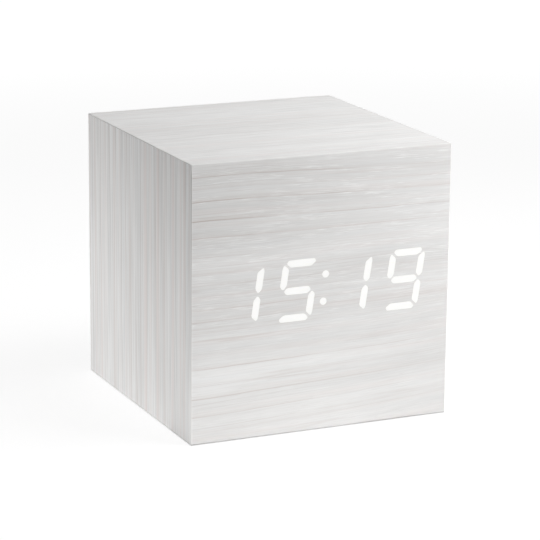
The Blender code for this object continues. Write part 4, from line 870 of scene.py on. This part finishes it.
recessed = {"Mesh 1": head.outputs[0], "Mesh 2": cross.outputs[0]}
head = add(tree, "GeometryNodeMeshBoolean", recessed, operation="DIFFERENCE", solver="EXACT")
shank_radius = calc(tree, "DIVIDE", given["Shank Diameter"], 2)
tip = calc(tree, "MULTIPLY", shank_radius, 1.2)
straight = calc(tree, "SUBTRACT", given["Length"], tip)
rooted = calc(tree, "MULTIPLY", height, 0.3)
depth = calc(tree, "ADD", straight, rooted)
shank = add(tree, "GeometryNodeMeshCylinder", {"Vertices": 24, "Radius": shank_radius, "Depth": depth})
shank = moved(tree, shank.outputs[0], calc(tree, "MULTIPLY", calc(tree, "SUBTRACT", rooted, straight), 0.5))
point = add(tree, "GeometryNodeMeshCone", {"Vertices": 24, "Radius Top": shank_radius, "Radius Bottom": 0, "Depth": tip})
point = moved(tree, point.outputs[0], calc(tree, "MULTIPLY", given["Length"], -1))
whole = add(tree, "GeometryNodeMeshBoolean", operation="UNION", solver="EXACT")
for part in (point, shank, head.outputs[0]):
    tree.links.new(part, whole.inputs["Mesh 2"])
whole = add(tree, "GeometryNodeMergeByDistance", {"Geometry": whole.outputs[0], "Distance": given["Merge Distance"]})
spin = add(
    tree,
    "FunctionNodeRandomValue",
    {"Min": (0, 0, 0), "Max": (0, 0, math.pi), "Seed": given["Seed"]},
    data_type="FLOAT_VECTOR",
)
laid = add(
    tree,
    "GeometryNodeInstanceOnPoints",
    {"Points": given["Geometry"], "Instance": whole.outputs[0], "Rotation": given["Turn"]},
)
spun = add(tree, "GeometryNodeRotateInstances", {"Instances": laid.outputs[0], "Rotation": spin.outputs[0], "Local Space": True})
real = add(tree, "GeometryNodeRealizeInstances", {"Geometry": spun.outputs[0]})
set_material = add(tree, "GeometryNodeSetMaterial", {"Geometry": real.outputs[0], "Material": given["Material"]})
tree.links.new(set_material.outputs[0], end.inputs["Geometry"])
screw_tree = tree

metal_group, given, end = shader_group(
    "worked metal",
    {"Place": ("Vector", (0, 0, 0)), "Tone": ("Color", (0.6, 0.6, 0.6, 1)), "Rough": ("Float", 0.3)},
    {"Color": "Color", "Roughness": "Float", "Height": "Float"},
)
tree = metal_group
clouds = add(tree, "ShaderNodeTexNoise", {"Vector": given["Place"], "Scale": 0.9, "Detail": 4}).outputs[0]
scuffs = add(tree, "ShaderNodeTexNoise", {"Vector": given["Place"], "Scale": 14, "Detail": 2}).outputs[0]
darker = mixed(tree, 1, given["Tone"], (0.78, 0.77, 0.75, 1), "MULTIPLY")
colour = mixed(tree, clouds, given["Tone"], darker)
roughness = calc(tree, "MULTIPLY_ADD", clouds, 0.15, given["Rough"])
hand_out(metal_group, end, {"Color": colour, "Roughness": roughness, "Height": scuffs})


def metal(name, tone, rough):
    made, tree, shader, place = new_material(name, Metallic=1.0)
    surface = use(tree, metal_group, {"Place": place, "Tone": (*tone, 1), "Rough": rough})
    tree.links.new(surface["Color"], shader.inputs["Base Color"])
    tree.links.new(surface["Roughness"], shader.inputs["Roughness"])
    bumped(tree, shader, surface["Height"], 0.004 * MM, 0.5)
    return made


black_steel = metal("blackened steel", (0.09, 0.09, 0.095), 0.30)
bright_steel = metal("zinc plated steel", (0.62, 0.62, 0.60), 0.22)
screw_groups = (
    ("rear_cover_screw", 4, 9 * MM, 1, black_steel, "black_steel"),
    ("control_board_screw", 2, 5 * MM, -1, bright_steel, "steel"),
    ("display_board_screw", 2, 5 * MM, 1, bright_steel, "steel"),
)
for name, count, length, way, material, slot in screw_groups:
    names = [f"{name}_{i}" for i in range(1, count + 1)]
    seats = []
    for node in names:
        low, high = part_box(node)
        seat = high.y - 1.3 * MM if way > 0 else low.y + 1.3 * MM
        seats.append(((low.x + high.x) / 2, seat, (low.z + high.z) / 2))
    values = {"Length": length, "Turn": (math.radians(-90 * way), 0, 0), "Seed": 7, "Material": material}
    show(f"{name}s", grow(screw_tree, name, seats, values), "case", slot, *names)

# Battery hatch: a lid of the cover's plastic. It hooks under the cover at its top edge and
# snaps shut at the bottom with a springy tongue, whose three ridges give a fingernail grip.
hatch_material = moulded("hatch plastic", (0.022, 0.022, 0.024), 1, 0.04)
show("battery_hatch_lid", eased("battery_hatch", 0.1 * MM, hatch_material), "hatch", "black_plastic", "battery_hatch")

# Battery cells: steel cans in a printed film, dark with a copper-coloured shoulder at the
# positive end, and bare metal at both ends.
film_material, tree, shader, place = new_material("cell film", Roughness=0.28, Coat_Weight=0.3)
axes = add(tree, "ShaderNodeSeparateXYZ", {0: place}).outputs
scuff = add(tree, "ShaderNodeTexNoise", {"Vector": place, "Scale": 1.6, "Detail": 4}).outputs[0]
worn = mixed(tree, scuff, (0.035, 0.045, 0.065, 1), (0.055, 0.07, 0.095, 1))
tree.links.new(worn, shader.inputs["Base Color"])
bumped(tree, shader, scuff, 0.01 * MM, 0.4)
collar_material, tree, shader, place = new_material("cell collar", Metallic=0.85)
scuff = add(tree, "ShaderNodeTexNoise", {"Vector": place, "Scale": 1.3, "Detail": 4}).outputs[0]
tree.links.new(mixed(tree, scuff, (0.52, 0.26, 0.12, 1), (0.66, 0.36, 0.18, 1)), shader.inputs["Base Color"])
tree.links.new(calc(tree, "MULTIPLY_ADD", scuff, 0.2, 0.22), shader.inputs["Roughness"])
can_material = metal("cell can", (0.68, 0.67, 0.64), 0.2)
CELL_SIDES = 64
for name, side in (("upper", -1), ("middle", 1), ("lower", -1)):
    low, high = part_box(f"{name}_battery")
    radius = (high.z - low.z) / 2
    length = high.x - low.x
    base = (high.x if side < 0 else low.x, (low.y + high.y) / 2, (low.z + high.z) / 2)
    shoulder = length - 0.8 * MM
    profile = [(radius - 1.1 * MM, 0.1 * MM), (radius - 0.9 * MM, 0), (radius - 0.35 * MM, 0), (radius, 0.35 * MM)]
    profile += [(radius, length * 0.74), (radius, shoulder - 0.4 * MM), (radius - 0.4 * MM, shoulder)]
    profile += [(radius - 1.0 * MM, shoulder), (radius - 1.1 * MM, shoulder - 0.15 * MM), (1.9 * MM, shoulder - 0.15 * MM)]
    profile += [(1.9 * MM, length - 0.15 * MM), (1.75 * MM, length)]
    materials = [2, 2, 0, 0, 1, 1, 1, 2, 2, 2, 2]
    shape = bmesh.new()
    turned(shape, profile, CELL_SIDES, base, (side, 0, 0), materials)
    mesh = mesh_from(shape, f"{name}_cell", film_material)
    mesh.materials.append(collar_material)
    mesh.materials.append(can_material)
    show(f"{name}_battery_cell", mesh, "case", "cell_wrapper", f"{name}_battery")


# What stays as it was made: each of these parts keeps its solid and takes its real finish.
def dress(material, *names):
    for name in names:
        for place in nodes[name].material_slots:
            place.material = material


nickel = metal("nickel plate", (0.72, 0.69, 0.62), 0.2)
dress(nickel, "positive_contact", "negative_contact", "upper_bridge_contact", "lower_bridge_contact")
dress(nickel, "dc_socket_pin")
dress(metal("microphone can", (0.62, 0.62, 0.6), 0.3), "microphone")
dress(moulded("socket plastic", (0.02, 0.02, 0.022), 0.3), "dc_socket", "buzzer")
dress(moulded("switch plastic", (0.03, 0.03, 0.03), 0.3), "mode_switch", "up_switch", "down_switch")
dress(moulded("plunger plastic", (0.8, 0.8, 0.78), 0.3), "mode_plunger", "up_plunger", "down_plunger")
dress(moulded("reflector plastic", (0.85, 0.85, 0.83), 0.3), "display_reflector")
dress(moulded("sleeve rubber", (0.02, 0.02, 0.02), 1), "microphone_sleeve")
dress(moulded("chip resin", (0.02, 0.02, 0.022), 0.6), "clock_chip")
dress(moulded("capacitor film", (0.03, 0.04, 0.12), 0.2), "capacitor")
dress(moulded("red wire", (0.55, 0.02, 0.02), 0.2), "red_battery_lead")
dress(moulded("black wire", (0.02, 0.02, 0.02), 0.2), "black_battery_lead")

# Boards: wood-fibre board under the veneer, with short fibres in all directions, and blocks of
# pine in the rear corners that take the cover's screws.
fibre_material, tree, shader, place = new_material("fibreboard", Roughness=0.85)
felt = add(tree, "ShaderNodeTexNoise", {"Vector": place, "Scale": 3.5, "Detail": 6}).outputs[0]
clumps = add(tree, "ShaderNodeTexNoise", {"Vector": place, "Scale": 0.5, "Detail": 3}).outputs[0]
colour = mixed(tree, felt, (0.28, 0.18, 0.10, 1), (0.48, 0.34, 0.20, 1))
tree.links.new(mixed(tree, calc(tree, "MULTIPLY", clumps, 0.4), colour, (0.40, 0.27, 0.16, 1)), shader.inputs["Base Color"])
bumped(tree, shader, felt, 0.05 * MM, 0.8)
dress(fibre_material, "front_board", "top_board", "bottom_board", "left_board", "right_board")

pine_material, tree, shader, place = new_material("pine", Roughness=0.7)
axes = add(tree, "ShaderNodeSeparateXYZ", {0: place}).outputs
bend = add(tree, "ShaderNodeTexNoise", {"Vector": place, "Scale": 0.08}).outputs[0]
level = calc(tree, "MULTIPLY_ADD", bend, 6, axes["Z"])
rings = calc(tree, "FRACT", calc(tree, "MULTIPLY", level, 0.7))
late = fade(tree, rings, 0.45, 0.95)
fibres = streaks(tree, calc(tree, "MULTIPLY", axes["Y"], 0.3), calc(tree, "MULTIPLY", axes["Z"], 6), axes["X"], 3)
colour = mixed(tree, late, (0.68, 0.50, 0.29, 1), (0.50, 0.30, 0.14, 1))
tree.links.new(mixed(tree, calc(tree, "MULTIPLY", fibres, 0.4), colour, (0.75, 0.58, 0.36, 1)), shader.inputs["Base Color"])
bumped(tree, shader, fibres, 0.03 * MM, 0.7)
dress(pine_material, *[f"{h}_{s}_corner_block" for h in ("upper", "lower") for s in ("left", "right")])

# Circuit boards: green solder mask over copper tracks, which show as slightly paler lines.
board_material, tree, shader, place = new_material("solder mask", Coat_Weight=0.3)
axes = add(tree, "ShaderNodeSeparateXYZ", {0: place}).outputs
flat_place = add(tree, "ShaderNodeCombineXYZ", {"X": axes["X"], "Y": axes["Z"]}).outputs[0]
tracks = add(
    tree,
    "ShaderNodeTexBrick",
    {"Vector": flat_place, "Scale": 0.35, "Mortar Size": 0.06, "Mortar Smooth": 0.1, "Brick Width": 2.2, "Row Height": 0.5},
).outputs["Fac"]
blotch = add(tree, "ShaderNodeTexNoise", {"Vector": place, "Scale": 0.4, "Detail": 3}).outputs[0]
colour = mixed(tree, blotch, (0.02, 0.13, 0.055, 1), (0.035, 0.18, 0.08, 1))
tree.links.new(mixed(tree, calc(tree, "MULTIPLY", tracks, 0.6), colour, (0.06, 0.30, 0.12, 1)), shader.inputs["Base Color"])
tree.links.new(calc(tree, "MULTIPLY_ADD", blotch, 0.2, 0.3), shader.inputs["Roughness"])
bumped(tree, shader, tracks, 0.03 * MM, 0.6)
dress(board_material, "display_board", "control_board")

# Ribbon cable: ten grey wires side by side, with grooves between them, painted darker there as painted shade.
ribbon_material, tree, shader, place = new_material("ribbon", Roughness=0.5)
axes = add(tree, "ShaderNodeSeparateXYZ", {0: place}).outputs
ridges_and_groove_shade = calc(tree, "ABSOLUTE", calc(tree, "SINE", calc(tree, "MULTIPLY", axes["X"], math.pi / 0.76)))
# Painted shade: the grey darkens into the grooves between the wires.
tree.links.new(mixed(tree, ridges_and_groove_shade, (0.25, 0.25, 0.26, 1), (0.5, 0.5, 0.51, 1)), shader.inputs["Base Color"])
bumped(tree, shader, ridges_and_groove_shade, 0.3 * MM)
dress(ribbon_material, "ribbon_cable")
